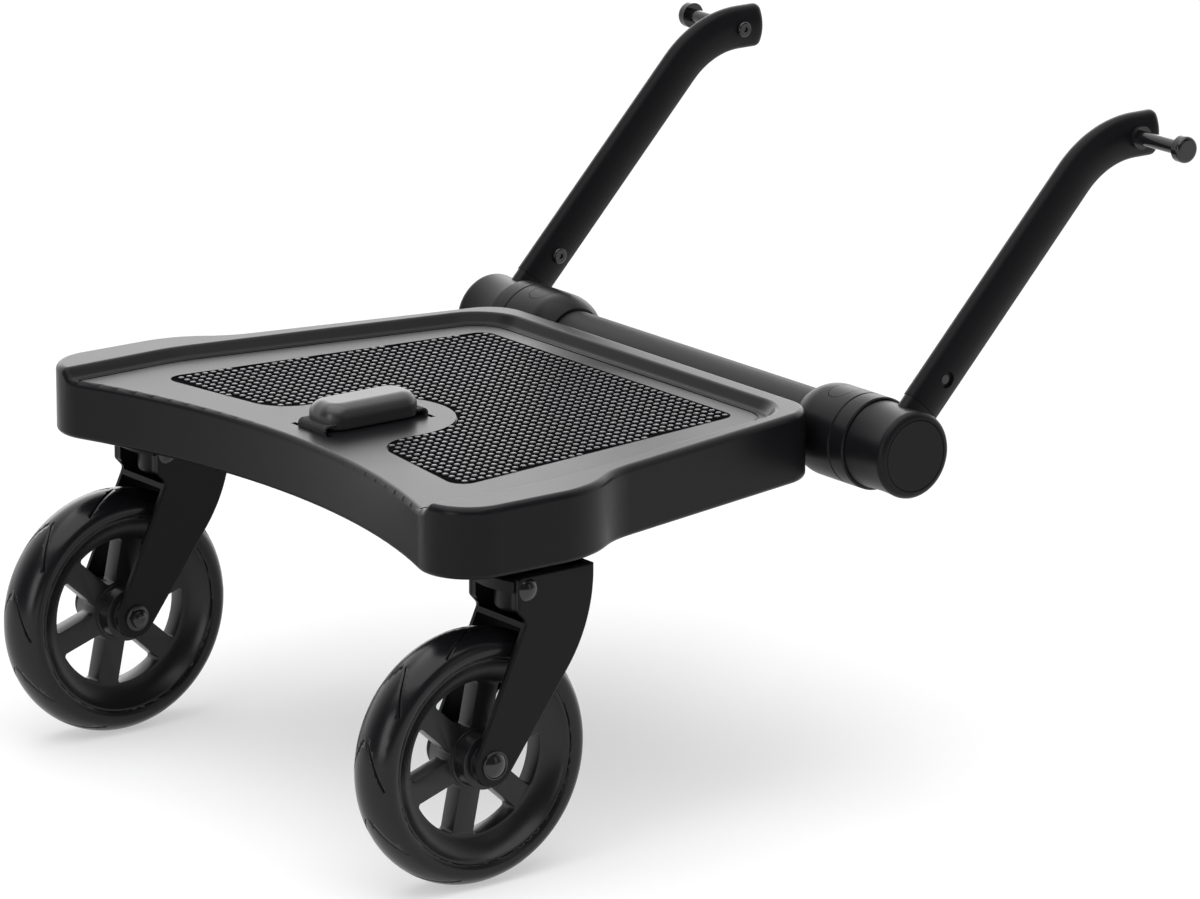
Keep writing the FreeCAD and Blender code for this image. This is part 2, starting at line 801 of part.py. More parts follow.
def tube_form(inset, start, tip_y):
    """Oval bar along the arm: straight from start, round the bend and forward to tip_y."""
    bend_start = arm_corner - arm_dir * arm_bend_tangent
    centre = bend_start + arm_side * arm_bend_radius
    first = oval_bar(arm_foot + arm_dir * start, bend_start, inset)
    bend = oval_face(bend_start, arm_dir, inset).revolve(centre, Vector(-1, 0, 0), arm_angle)
    tip_start = Vector(arm_x, arm_corner.y + arm_bend_tangent, arm_corner.z)
    tip = oval_bar(tip_start, Vector(arm_x, tip_y, arm_corner.z), inset)
    return first.fuse([bend, tip]).removeSplitter()


def arm_screw_point():
    """Middle of the screw that holds the tube on its stub."""
    return arm_foot + arm_dir * arm_screw_place


def arm_tube():
    """Bent oval tube with the holes of its screw and its stud."""
    tube = tube_form(0, tube_start, arm_end_y)
    bore = tube_form(tube_wall, tube_start - overrun, arm_end_y + overrun)
    tube = tube.cut(bore)
    low = arm_screw_point()
    hole = screw_radius + slide_clearance
    tube = tube.cut(rod_x(low.y, low.z, hole, arm_x - tube_width, arm_x))
    tube = tube.cut(rod_x(low.y, low.z, screw_head_radius, arm_x, arm_x + tube_width))
    tube = tube.cut(rod_x(stud_y, stud_z, hole, arm_x - tube_width, arm_x))
    return tube.cut(rod_x(stud_y, stud_z, stud_radius + seat_clearance, arm_x, arm_x + tube_width))


def tube_plug():
    """Rounded plug that closes the tip of the tube."""
    tip = Vector(arm_x, arm_end_y, arm_corner.z)
    ahead = Vector(0, 1, 0)
    cap = oval_face(tip, ahead, 0).extrude(ahead * plug_length)
    cap = fillet(cap, plug_round, front_rim(arm_end_y + plug_length))
    inner = tube_wall + seat_clearance
    tongue = oval_face(tip - ahead * plug_depth, ahead, inner).extrude(ahead * plug_depth)
    plug = cap.fuse(tongue)
    return plug.cut(rod_x(stud_y, stud_z, stud_collar_radius, arm_x - tube_width, arm_x + tube_width))


def front_rim(y):
    """A test for the edges that lie in one plane across Y."""
    def chosen(edge):
        size = edge.BoundBox
        return abs(size.YMin - y) < seat_clearance and abs(size.YMax - y) < seat_clearance
    return chosen


def screw_x(y, z, seat, tip):
    """Button-head screw along X: the head stands inboard of seat and the shank runs to tip."""
    head = rod_x(y, z, screw_head_radius, seat - screw_head_height, seat)
    head = fillet(head, screw_head_height / 2, lambda edge: edge.BoundBox.XMax < seat - screw_head_height / 2)
    head = head.cut(hexagon_rod(y, z, screw_key_radius, seat - screw_head_height - overrun,
                                seat - screw_head_height / 2))
    return head.fuse(rod_x(y, z, screw_radius, seat, tip)).removeSplitter()


def arm_screw():
    """Screw that holds the tube on the stub of the hub."""
    place = arm_screw_point()
    seat = arm_x - tube_width / 2
    return screw_x(place.y, place.z, seat, arm_x + tube_width / 2 - tube_wall)


def pin_screw():
    """Screw that draws the stud against the tube from its inner side."""
    return screw_x(stud_y, stud_z, arm_x - tube_width / 2, arm_x + tube_width / 2)


def mount_pin():
    """Mushroom stud that hooks into the pushchair's adapter."""
    face = arm_x + tube_width / 2
    head_start = face + stud_collar + stud_length
    head_end = head_start + stud_head_length
    stud = rod_x(stud_y, stud_z, stud_radius, arm_x, head_start)
    stud = stud.fuse(rod_x(stud_y, stud_z, stud_collar_radius, face, face + stud_collar))
    head = rod_x(stud_y, stud_z, stud_head_radius, head_start, head_end)
    head = fillet(head, stud_head_round, lambda edge: edge.BoundBox.XMin > head_end - stud_head_length / 2)
    stud = stud.fuse(head).removeSplitter()
    bore = screw_radius + seat_clearance
    return stud.cut(rod_x(stud_y, stud_z, bore, arm_x - overrun, face + seat_clearance))


def arm_hub():
    """Hub that turns on the hinge bolt and carries the stub of the arm."""
    shoulder = hub_end - arm_hub_round
    waist = ((hub_start + shoulder) / 2, arm_hub_waist)
    round_share = math.sqrt(0.5)
    corner = (shoulder + arm_hub_round * round_share, arm_hub_radius - arm_hub_round * (1 - round_share))
    spigot_start = hub_start - spigot_length
    body = turned(profile((spigot_start, 0), (spigot_start, spigot_radius), (hub_start, spigot_radius),
                          (hub_start, arm_hub_radius), (shoulder, arm_hub_radius, waist),
                          (hub_end, arm_hub_radius - arm_hub_round, corner), (hub_end, 0)), bar_y, bar_z)
    collar = oval_bar(arm_foot, arm_foot + arm_dir * (tube_start - seat_clearance), collar_step)
    stub_end = arm_foot + arm_dir * (tube_start + stub_length)
    stub = oval_bar(arm_foot, stub_end, tube_wall + seat_clearance)
    body = body.fuse([collar, stub])
    recess = hub_end - cap_thickness
    body = body.cut(rod_x(bar_y, bar_z, cap_radius + cap_seam, recess, hub_end + overrun))
    head_seat = recess - face_gap - bolt_head_height - face_gap
    body = body.cut(rod_x(bar_y, bar_z, bolt_head_radius + slide_clearance, head_seat, recess + overrun))
    body = body.cut(rod_x(bar_y, bar_z, bolt_radius + running_clearance, spigot_start - overrun, hub_end))
    place = arm_screw_point()
    hole = screw_radius + seat_clearance
    return body.cut(rod_x(place.y, place.z, hole, arm_x - tube_width, arm_x + tube_width))


def hub_cap():
    """Flat cap that closes the outer end of the hub."""
    cap = rod_x(bar_y, bar_z, cap_radius, hub_end - cap_thickness, hub_end)
    return fillet(cap, cap_edge_round, lambda edge: edge.BoundBox.XMin > hub_end - cap_thickness / 2)


# Caster, drawn for the right-hand side about its own middle plane at x = 0

def fork_outline(front_y):
    """Corners of the fork's side outline, with its front edge at front_y. Two long edges run up
    from the round eye at the axle. The rear one leans more where the tab comes low, so that its
    notch always lies at least fork_notch_drop below the tab."""
    tab_y = pivot_y - fork_tab_back
    tab_z = pivot_z - fork_tab_drop
    notch_back = tab_y + fork_notch_depth
    away_y = notch_back - wheel_y
    away_z = tab_z - fork_notch_drop - axle_z
    steepest = math.atan2(away_z, away_y) - math.asin(fork_eye_radius / math.hypot(away_y, away_z))
    front = math.radians(fork_front_angle)
    rear = min(math.radians(fork_rear_angle), steepest)
    low_front = (wheel_y + fork_eye_radius * math.sin(front), axle_z - fork_eye_radius * math.cos(front))
    low_rear = (wheel_y - fork_eye_radius * math.sin(rear), axle_z + fork_eye_radius * math.cos(rear))
    knee = (front_y, low_front[1] + (front_y - low_front[0]) * math.tan(front))
    notch = (notch_back, low_rear[1] + (notch_back - low_rear[0]) * math.tan(rear))
    return {"low_front": low_front, "knee": knee, "top_front": (front_y, fork_top),
            "top_rear": (tab_y, fork_top), "tab": (tab_y, tab_z), "notch": notch, "low_rear": low_rear}


def fork_prism(front_y, x0, x1):
    """Side outline of the fork between two X planes, its corners rounded and its eye round.
    The large round of the knee ends below the top corner, with room for that corner's own round."""
    corners = fork_outline(front_y)
    blade = side_prism(list(corners.values()), x0, x1)
    blade = blade.fuse(rod_x(wheel_y, axle_z, fork_eye_radius, x0, x1)).removeSplitter()
    run = fork_top - corners["knee"][1] - 2 * fork_edge_radius
    half_turn = math.radians(90 - fork_front_angle) / 2
    knee_radius = min(fork_knee_radius, run / math.tan(half_turn))
    blade = fillet(blade, knee_radius, across_at([corners["knee"]]))
    small = [corners[name] for name in ("top_rear", "tab", "notch")]
    return fillet(blade, fork_corner_radius, across_at(small))


def across_at(places):
    """A test for edges along X that lie at one of the places given as (y, z)."""
    def chosen(edge):
        size = edge.BoundBox
        across = size.YLength < seat_clearance and size.ZLength < seat_clearance
        return across and any(abs(size.YMin - y) + abs(size.ZMin - z) < seat_clearance for y, z in places)
    return chosen


def fork():
    """Moulded fork: two blades, a bridge bowed over the tyre and a front web."""
    body = fork_prism(fork_front_y, -fork_half_width, fork_half_width)
    well = wheel_radius + tyre_clearance
    body = body.cut(rod_x(wheel_y, axle_z, well, -fork_inner, fork_inner))
    pocket = fork_prism(fork_front_y - fork_web, -fork_inner, fork_inner)
    pocket = pocket.cut(rod_x(wheel_y, axle_z, well + bridge_thickness, -fork_inner, fork_inner))
    pocket = pocket.fuse(box(-fork_inner, fork_inner, pivot_y - fork_tab_back - overrun, pivot_y,
                             pivot_z - fork_tab_drop, fork_top + overrun))
    pocket = pocket.fuse(box(-fork_inner, fork_inner, pivot_y, fork_front_y - fork_web,
                             pivot_z, fork_top + overrun))
    body = body.cut(pocket)
    outer = fork_half_width - seat_clearance
    body = fillet(body, fork_edge_radius, lambda edge: abs(edge.BoundBox.Center.x) > outer)
    body = body.cut(rod_x(wheel_y, axle_z, axle_radius + seat_clearance, -fork_half_width - overrun,
                          fork_half_width + overrun))
    return body.cut(rod_x(pivot_y, pivot_z, rivet_radius + seat_clearance, -fork_half_width - overrun,
                          fork_half_width + overrun))


def pivot_rivets():
    """Two domed rivets that the fork swings on, one through each ear of the bracket."""
    inner = fork_inner - bracket_gap - bracket_ear - rivet_tail
    shank = rod_x(pivot_y, pivot_z, rivet_radius, inner, fork_half_width)
    head = dome_x(pivot_y, pivot_z, rivet_head_radius, rivet_head_height, fork_half_width, 1)
    rivet = shank.fuse(head).removeSplitter()
    return Part.Compound([rivet, mirrored(rivet)])


def axle_bolt():
    """Bolt with a domed head on the outer side that carries the wheel."""
    tail = -fork_half_width - axle_nut_height * axle_tail_share
    shank = rod_x(wheel_y, axle_z, axle_radius, tail, fork_half_width)
    head = dome_x(wheel_y, axle_z, axle_head_radius, axle_head_height, fork_half_width, 1)
    return shank.fuse(head).removeSplitter()


def axle_nut():
    """Closed hexagon nut on the inner side of the fork."""
    seat = -fork_half_width
    nut = hexagon_rod(wheel_y, axle_z, axle_nut_radius, seat - axle_nut_height, seat)
    bore = rod_x(wheel_y, axle_z, axle_radius + seat_clearance, seat - axle_nut_height * axle_bore_share,
                 seat + overrun)
    return nut.cut(bore)


def swivel_bracket():
    """U-shaped bracket between the fork's blades, with the boss of the swivel stem."""
    half = fork_inner - bracket_gap
    low = bracket_top - bracket_plate
    back = swivel_y - bracket_back_reach
    plate = box(-half, half, back, swivel_y + bracket_front_reach, low, bracket_top)
    curve = rod_z(0, back + bracket_back_radius, bracket_back_radius, low, bracket_top)
    front_half = box(-half, half, swivel_y, swivel_y + bracket_front_reach, low, bracket_top)
    body = plate.common(curve).fuse(front_half)
    ear_rear = pivot_y - fork_tab_back
    ear_front = pivot_y + bracket_ear_front
    ear_low = pivot_z - bracket_ear_drop
    for side in (1, -1):
        x0 = min(side * half, side * (half - bracket_ear))
        ear = box(x0, x0 + bracket_ear, ear_rear, ear_front, ear_low, bracket_top)
        corners = [(ear_rear, ear_low), (ear_front, ear_low)]
        body = body.fuse(fillet(ear, fork_corner_radius, across_at(corners)))
    boss_low = deck_bottom - bracket_boss_drop
    boss = rod_z(0, swivel_y, bracket_boss_radius, boss_low, bracket_top)
    boss = fillet(boss, bracket_boss_round, at_height(boss_low))
    collar = rod_z(0, swivel_y, bracket_collar_radius, bracket_top, bush_under - face_gap)
    body = body.fuse([boss, collar]).removeSplitter()
    body = body.cut(rod_z(0, swivel_y, stem_radius + seat_clearance, boss_low + stem_inset, deck_bottom))
    bore = rivet_radius + running_clearance
    return body.cut(rod_x(pivot_y, pivot_z, bore, -fork_half_width, fork_half_width))


def stem_groove():
    """Height of the lower side of the clip's groove in the stem."""
    return bush_under + bush_flange + bush_length + face_gap


def swivel_stem():
    """Steel stem pressed into the bracket, with a groove for its clip."""
    low = deck_bottom - bracket_boss_drop + stem_inset
    groove = stem_groove()
    high = groove + clip_thickness + stem_tip
    stem = rod_z(0, swivel_y, stem_radius, low, high)
    ring = rod_z(0, swivel_y, stem_radius + overrun, groove, groove + clip_thickness)
    return stem.cut(ring.cut(rod_z(0, swivel_y, stem_neck_radius, groove, groove + clip_thickness)))


def stem_clip():
    """Spring clip in the groove that holds the stem in its bush."""
    low = stem_groove() + seat_clearance
    high = stem_groove() + clip_thickness - seat_clearance
    clip = rod_z(0, swivel_y, clip_radius, low, high)
    clip = clip.cut(rod_z(0, swivel_y, stem_neck_radius + seat_clearance, low, high))
    slot = clip_slot_width / 2
    return clip.cut(box(-slot, slot, swivel_y, swivel_y + clip_radius, low, high))


def swivel_bush():
    """Flanged bush in the deck's socket that the stem turns in."""
    low = bush_under
    bush = rod_z(0, swivel_y, bush_flange_radius, low, low + bush_flange)
    bush = bush.fuse(rod_z(0, swivel_y, bush_radius, low, low + bush_flange + bush_length)).removeSplitter()
    return bush.cut(rod_z(0, swivel_y, stem_radius + running_clearance, low - overrun,
                          low + bush_flange + bush_length + overrun))


def buffer():
    """Rubber block between the boss of the bracket and the fork's front web."""
    high = bracket_top - bracket_plate - face_gap
    block = box(-buffer_width / 2, buffer_width / 2, swivel_y, fork_front_y, high - buffer_height, high)
    block = block.common(fork_prism(fork_front_y - fork_web - seat_clearance, -fork_inner, fork_inner))
    return block.cut(rod_z(0, swivel_y, bracket_boss_radius + seat_clearance, high - buffer_height, high))


# Wheel, drawn about its own middle plane at x = 0

def wheel_rim():
    """Moulded wheel: bowl-shaped rim, six spokes and a stepped hub."""
    dish_share = 0.32
    rise_share = 0.53
    half = rim_half_width
    web = rim_web_half
    via = (web + (half - web) * dish_share, rim_well_radius + (rim_lip_radius - rim_well_radius) * rise_share)
    mirror_via = (-via[0], via[1])
    ring = turned(profile((-half, rim_radius), (half, rim_radius), (half, rim_lip_radius),
                          (web, rim_well_radius, via), (-web, rim_well_radius),
                          (-half, rim_lip_radius, mirror_via)), wheel_y, axle_z)
    nose = fork_inner - face_gap - face_gap
    body = ring.fuse(rod_x(wheel_y, axle_z, rim_well_radius, -web, web)).removeSplitter()
    body = body.cut(rim_windows())
    flange = web + hub_flange
    body = body.fuse([rod_x(wheel_y, axle_z, hub_flange_radius - hub_flange, -flange, flange),
                      rod_x(wheel_y, axle_z, hub_radius, -hub_half_length, hub_half_length),
                      rod_x(wheel_y, axle_z, hub_nose_radius, -nose, nose)]).removeSplitter()
    bore = wheel_bush_radius + seat_clearance
    return body.cut(rod_x(wheel_y, axle_z, bore, -nose - overrun, nose + overrun))


def rim_windows():
    """The openings between the spokes, with rounded corners."""
    half = rim_web_half + overrun
    room = rod_x(wheel_y, axle_z, rim_well_radius - rim_land, -half, half)
    room = room.cut(rod_x(wheel_y, axle_z, hub_flange_radius, -half, half))
    for step in range(spoke_count):
        spoke = box(-half, half, -spoke_width / 2, spoke_width / 2, 0, rim_radius)
        spoke.rotate(Vector(0, 0, 0), Vector(1, 0, 0), 360 * step / spoke_count - spoke_lean)
        spoke.translate(Vector(0, wheel_y, axle_z))
        room = room.cut(spoke)
    return [fillet(window, spoke_corner_radius, along_x) for window in room.Solids]


def along_x(edge):
    """Picks the straight edges that run along X."""
    size = edge.BoundBox
    return size.YLength < seat_clearance and size.ZLength < seat_clearance


def tyre():
    """Round-shouldered tyre on the rim."""
    seat = rim_radius + seat_clearance
    foot = tyre_foot_half
    shoulder = (tyre_shoulder_half, tyre_shoulder_radius)
    bulge = (tyre_half_width, tyre_bulge_radius)
    return turned(profile((-foot, seat, (-bulge[0], bulge[1])), (foot, seat),
                          (shoulder[0], shoulder[1], bulge),
                          (-shoulder[0], shoulder[1], (0, wheel_radius))), wheel_y, axle_z)


def wheel_bushes():
    """The two plain bushes in the wheel's hub."""
    nose = fork_inner - face_gap
    bush = rod_x(wheel_y, axle_z, wheel_bush_radius, nose - wheel_bush_length, nose)
    bush = bush.cut(rod_x(wheel_y, axle_z, axle_radius + running_clearance, 0, nose + overrun))
    return Part.Compound([bush, mirrored(bush)])


def placed(shape, x):
    """A caster piece moved out to its place on the deck."""
    moved = shape.copy()
    moved.translate(Vector(x, 0, 0))
    return moved


def main():
    """Builds every piece, shifts it to the part's origin and writes its file."""
    pieces = {"deck_tray": deck_tray(), "tread_mat": tread_mat(), "grip_block": grip_block(),
              "grip_strap": grip_strap(), "strap_bars": strap_bars(), "crossbar": crossbar(),
              "bar_saddles": bar_saddles(), "saddle_bolts": saddle_bolts(), "saddle_nuts": saddle_nuts()}
    knuckle_and_arm = (knuckle_housing, knuckle_ring, hinge_bolt, release_button, button_spring,
                       arm_hub, hub_cap, arm_tube, tube_plug, mount_pin, pin_screw, arm_screw)
    for make in knuckle_and_arm:
        shape = make()
        pieces["right_" + make.__name__] = shape
        pieces["left_" + make.__name__] = mirrored(shape)
    caster = (swivel_bush, swivel_bracket, swivel_stem, stem_clip, buffer, fork, pivot_rivets,
              axle_bolt, axle_nut, wheel_rim, tyre, wheel_bushes)
    for make in caster:
        shape = placed(make(), caster_half_track)
        pieces["right_" + make.__name__] = shape
        pieces["left_" + make.__name__] = mirrored(shape)
    os.makedirs("parts", exist_ok=True)
    for name, shape in pieces.items():
        shape.translate(Vector(0, -origin_y, 0))
        shape.exportStep("parts/" + name + ".step")


main()
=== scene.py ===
# %% [markdown]
# # Dressing a buggy board
# A buggy board is a platform on two casters that hangs on the back of a pushchair, so that an older
# child can ride along. The CAD model gives its bodies and joints. This lesson gives it the looks:
# black moulded plastic, painted tube, rubber and webbing, under soft studio light.

# %% Load the CAD frame
import json
import math

import bpy
from mathutils import Matrix, Vector

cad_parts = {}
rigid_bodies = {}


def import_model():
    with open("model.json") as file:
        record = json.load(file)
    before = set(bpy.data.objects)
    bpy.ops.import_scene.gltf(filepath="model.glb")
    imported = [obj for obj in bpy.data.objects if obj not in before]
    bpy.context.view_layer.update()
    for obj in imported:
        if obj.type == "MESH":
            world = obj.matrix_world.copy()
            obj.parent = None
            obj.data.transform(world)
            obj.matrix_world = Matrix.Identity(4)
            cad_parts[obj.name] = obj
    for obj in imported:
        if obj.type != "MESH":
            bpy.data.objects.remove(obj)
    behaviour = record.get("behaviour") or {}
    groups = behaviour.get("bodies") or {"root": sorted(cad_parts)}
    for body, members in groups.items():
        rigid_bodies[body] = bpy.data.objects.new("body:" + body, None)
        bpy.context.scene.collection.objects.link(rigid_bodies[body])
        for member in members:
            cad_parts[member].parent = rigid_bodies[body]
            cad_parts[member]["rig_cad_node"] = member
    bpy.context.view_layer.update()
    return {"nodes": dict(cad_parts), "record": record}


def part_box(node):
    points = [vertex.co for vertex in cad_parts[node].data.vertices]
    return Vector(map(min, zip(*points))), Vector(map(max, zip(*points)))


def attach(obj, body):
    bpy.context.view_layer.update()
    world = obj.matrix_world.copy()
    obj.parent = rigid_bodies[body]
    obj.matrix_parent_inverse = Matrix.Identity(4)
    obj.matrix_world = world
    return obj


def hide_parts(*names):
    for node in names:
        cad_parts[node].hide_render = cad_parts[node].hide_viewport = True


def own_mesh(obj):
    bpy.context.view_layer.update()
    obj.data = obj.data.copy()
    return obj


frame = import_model()
nodes = frame["nodes"]

# %% [markdown]
# ## The camera
# The photograph was taken from far away with a long lens, from behind the rider's right shoulder.
# A camera can be aimed by eye, but here its direction, distance and focal length were worked out from
# the places of known points, so they are written as plain numbers.

# %% Camera
photo_width = 1200
focal_pixels = 7401.56
azimuth = math.radians(52.686)
elevation = math.radians(15.405)
roll = math.radians(0.144)
aim = Vector((0.074437, -0.039891, 0.190273))
distance = 4.0331

camera = bpy.data.objects.new("camera", bpy.data.cameras.new("camera"))
bpy.context.scene.collection.objects.link(camera)
camera.data.sensor_width = 36.0
camera.data.lens = focal_pixels / photo_width * camera.data.sensor_width
camera.data.clip_end = 100.0
back = Vector((math.sin(azimuth) * math.cos(elevation), -math.cos(azimuth) * math.cos(elevation),
               math.sin(elevation)))
right = Vector((math.cos(azimuth), math.sin(azimuth), 0))
up = back.cross(right)
turn = Matrix((right, up, back)).transposed().to_4x4()
camera.matrix_world = Matrix.Translation(aim + back * distance) @ turn @ Matrix.Rotation(roll, 4, "Z")
bpy.context.scene.camera = camera
bpy.context.scene.view_settings.view_transform = "Standard"
print("camera lens in mm:", round(camera.data.lens, 2))

# %% [markdown]
# ## Floor and light
# The board stands on a white sweep. Black plastic shows its form by what it mirrors, so the light
# matters more than the colour. Seen from low behind, the tread mirrors whatever stands beyond the
# board, so a wide bright panel there lays a pale sheen on it, while the upright sides mirror the dim
# side of the room and stay dark. The camera itself sees plain white behind the board, and the floor
# glows more with its distance from the lamps, to stay as white there as near them.

# %% Node helpers
def node(tree, kind, **settings):
    """Adds a shader node and sets its properties and its unlinked inputs."""
    made = tree.nodes.new(kind)
    for name, value in settings.items():
        if hasattr(made, name):
            setattr(made, name, value)
        else:
            made.inputs[name.replace("_", " ")].default_value = value
    return made


def maths(tree, operation, first, second=None):
    """Adds a Math node. Its inputs are numbers or the sockets of other nodes."""
    made = node(tree, "ShaderNodeMath", operation=operation)
    for slot, value in enumerate((first, second)):
        if value is None:
            continue
        if isinstance(value, (int, float)):
            made.inputs[slot].default_value = value
        else:
            tree.links.new(value, made.inputs[slot])
    return made.outputs[0]


def new_material(name):
    """A material with an empty node tree."""
    made = bpy.data.materials.new(name)
    made.use_nodes = True
    made.node_tree.nodes.clear()
    return made


def seen_directly(tree):
    """1 for rays from the camera, off a mirror-like surface or through glass, and 0 for the rest."""
    path = node(tree, "ShaderNodeLightPath")
    mirrored = maths(tree, "MAXIMUM", path.outputs["Is Glossy Ray"], path.outputs["Is Transmission Ray"])
    return maths(tree, "MAXIMUM", path.outputs["Is Camera Ray"], mirrored)


# %% Floor
floor_size = 60.0
floor_tone = 0.93
near_glow_share = 0.45
lit_radius = 2.0
white_radius = 6.0
bpy.ops.object.select_all(action="DESELECT")
bpy.ops.mesh.primitive_plane_add(size=floor_size)
floor = bpy.context.object
floor.name = "floor"
floor_finish = new_material("white_sweep")
tree = floor_finish.node_tree
paint = node(tree, "ShaderNodeBsdfDiffuse", Color=(floor_tone, floor_tone, floor_tone, 1))
glow = node(tree, "ShaderNodeEmission", Color=(1, 1, 1, 1), Strength=1.0)
place = node(tree, "ShaderNodeTexCoord")
away = node(tree, "ShaderNodeVectorMath", operation="LENGTH")
tree.links.new(place.outputs["Object"], away.inputs[0])
glow_share = node(tree, "ShaderNodeMapRange", interpolation_type="SMOOTHSTEP", From_Min=lit_radius,
                  From_Max=white_radius, To_Min=near_glow_share, To_Max=1.0)
tree.links.new(away.outputs["Value"], glow_share.inputs["Value"])
mix = node(tree, "ShaderNodeMixShader")
out = node(tree, "ShaderNodeOutputMaterial")
tree.links.new(maths(tree, "MULTIPLY", seen_directly(tree), glow_share.outputs[0]), mix.inputs[0])
tree.links.new(paint.outputs[0], mix.inputs[1])
tree.links.new(glow.outputs[0], mix.inputs[2])
tree.links.new(mix.outputs[0], out.inputs[0])
floor.data.materials.append(floor_finish)
print("floor made")

# %% Room light
room_tone = 0.5
dim_side = 0.05
bright_side = 1.8
far_side = Vector((-math.sin(azimuth), math.cos(azimuth), 0))
world = bpy.data.worlds.new("studio")
bpy.context.scene.world = world
world.use_nodes = True
tree = world.node_tree
tree.nodes.clear()
place = node(tree, "ShaderNodeTexCoord")
ahead = node(tree, "ShaderNodeVectorMath", operation="DOT_PRODUCT")
ahead.inputs[1].default_value = far_side
tree.links.new(place.outputs["Generated"], ahead.inputs[0])
wall = node(tree, "ShaderNodeMapRange", interpolation_type="SMOOTHSTEP", From_Min=-0.3, From_Max=0.75,
            To_Min=dim_side, To_Max=bright_side)
tree.links.new(ahead.outputs["Value"], wall.inputs["Value"])
path = node(tree, "ShaderNodeLightPath")
shown = node(tree, "ShaderNodeMix", data_type="FLOAT")
tree.links.new(path.outputs["Is Camera Ray"], shown.inputs[0])
tree.links.new(wall.outputs[0], shown.inputs[2])
shown.inputs[3].default_value = 1.0
room = node(tree, "ShaderNodeBackground", Color=(room_tone, room_tone, room_tone, 1), Strength=1.0)
white = node(tree, "ShaderNodeBackground", Color=(1, 1, 1, 1))
tree.links.new(shown.outputs[0], white.inputs["Strength"])
mix = node(tree, "ShaderNodeMixShader")
out = node(tree, "ShaderNodeOutputWorld")
tree.links.new(seen_directly(tree), mix.inputs[0])
tree.links.new(room.outputs[0], mix.inputs[1])
tree.links.new(white.outputs[0], mix.inputs[2])
tree.links.new(mix.outputs[0], out.inputs[0])
print("world:", world.name)


# %% Lamps
def softbox(name, place, target, width, height, power):
    """A rectangular area lamp at place that faces target."""
    lamp = bpy.data.objects.new(name, bpy.data.lights.new(name, "AREA"))
    bpy.context.scene.collection.objects.link(lamp)
    lamp.data.shape = "RECTANGLE"
    lamp.data.size = width
    lamp.data.size_y = height
    lamp.data.energy = power
    lamp.location = place
    lamp.rotation_euler = (Vector(target) - Vector(place)).to_track_quat("-Z", "Y").to_euler()
    return lamp


panel_place = far_side * 3.0 + Vector((0, 0, 1.05))
lamps = [
    softbox("far_panel", panel_place, target=(0, 0, 0.2), width=4.0, height=1.4, power=24),
    softbox("ceiling", (0.25, -0.4, 2.6), target=(0, 0, 0.2), width=3.2, height=3.2, power=74),
    softbox("rear_strip", (0.85, -2.8, 0.95), target=(0, -0.2, 0.1), width=0.9, height=1.6, power=17),
    softbox("right_strip", (2.6, 0.9, 1.0), target=(0.15, 0, 0.15), width=0.6, height=1.3, power=2),
]
print("lamps:", len(lamps))

# %% [markdown]
# ## Surface effects that several finishes share
# Moulded plastic has a fine spark-eroded grain, and anything that is handled picks up faint scuffs.
# Each effect is a node group, so that every finish can use it at its own scale.

# %% Grain group
def group(name, inputs, outputs):
    """An empty shader node group with named inputs, given as (name, kind, default), and outputs."""
    made = bpy.data.node_groups.new(name, "ShaderNodeTree")
    for label, kind, default in inputs:
        made.interface.new_socket(label, in_out="INPUT", socket_type=kind).default_value = default
    for label, kind in outputs:
        made.interface.new_socket(label, in_out="OUTPUT", socket_type=kind)
    return made, made.nodes.new("NodeGroupInput"), made.nodes.new("NodeGroupOutput")


grain, taken, given = group("moulded_grain", [("Scale", "NodeSocketFloat", 1800.0)],
                            [("Height", "NodeSocketFloat"), ("Mottle", "NodeSocketFloat")])
where = node(grain, "ShaderNodeTexCoord")
fine = node(grain, "ShaderNodeTexNoise", Detail=3.0, Roughness=0.6)
broad = node(grain, "ShaderNodeTexNoise", Scale=22.0, Detail=4.0, Roughness=0.6)
grain.links.new(where.outputs["Object"], fine.inputs["Vector"])
grain.links.new(where.outputs["Object"], broad.inputs["Vector"])
grain.links.new(taken.outputs["Scale"], fine.inputs["Scale"])
grain.links.new(fine.outputs["Fac"], given.inputs["Height"])
grain.links.new(broad.outputs["Fac"], given.inputs["Mottle"])
print("group:", grain.name)

# %% Scuff group
scuffs, taken, given = group("handling_scuffs", [("Amount", "NodeSocketFloat", 0.3)],
                             [("Mask", "NodeSocketFloat")])
where = node(scuffs, "ShaderNodeTexCoord")
stretch = node(scuffs, "ShaderNodeMapping")
stretch.inputs["Scale"].default_value = (60.0, 420.0, 160.0)
stretch.inputs["Rotation"].default_value = (0.3, 0.2, 0.6)
streak = node(scuffs, "ShaderNodeTexNoise", Scale=1.0, Detail=2.0, Roughness=0.5)
patch = node(scuffs, "ShaderNodeTexNoise", Scale=14.0, Detail=2.0, Roughness=0.5)
thin = node(scuffs, "ShaderNodeMapRange", From_Min=0.62, From_Max=0.78)
few = node(scuffs, "ShaderNodeMapRange", From_Min=0.52, From_Max=0.72)
scuffs.links.new(where.outputs["Object"], stretch.inputs["Vector"])
scuffs.links.new(stretch.outputs[0], streak.inputs["Vector"])
scuffs.links.new(where.outputs["Object"], patch.inputs["Vector"])
scuffs.links.new(streak.outputs["Fac"], thin.inputs["Value"])
scuffs.links.new(patch.outputs["Fac"], few.inputs["Value"])
both = maths(scuffs, "MULTIPLY", thin.outputs[0], few.outputs[0])
scuffs.links.new(maths(scuffs, "MULTIPLY", both, taken.outputs["Amount"]), given.inputs["Mask"])
print("group:", scuffs.name)

# %% [markdown]
# ## Finishes
# Nearly everything is black, but not one black: the tray is satin moulded plastic, the arms are powder
# coated, the tyres are smooth and a little glossy, and the rivets shine. One function wires the shared
# groups to a Principled shader, and each finish gives its own colour, gloss and grain.

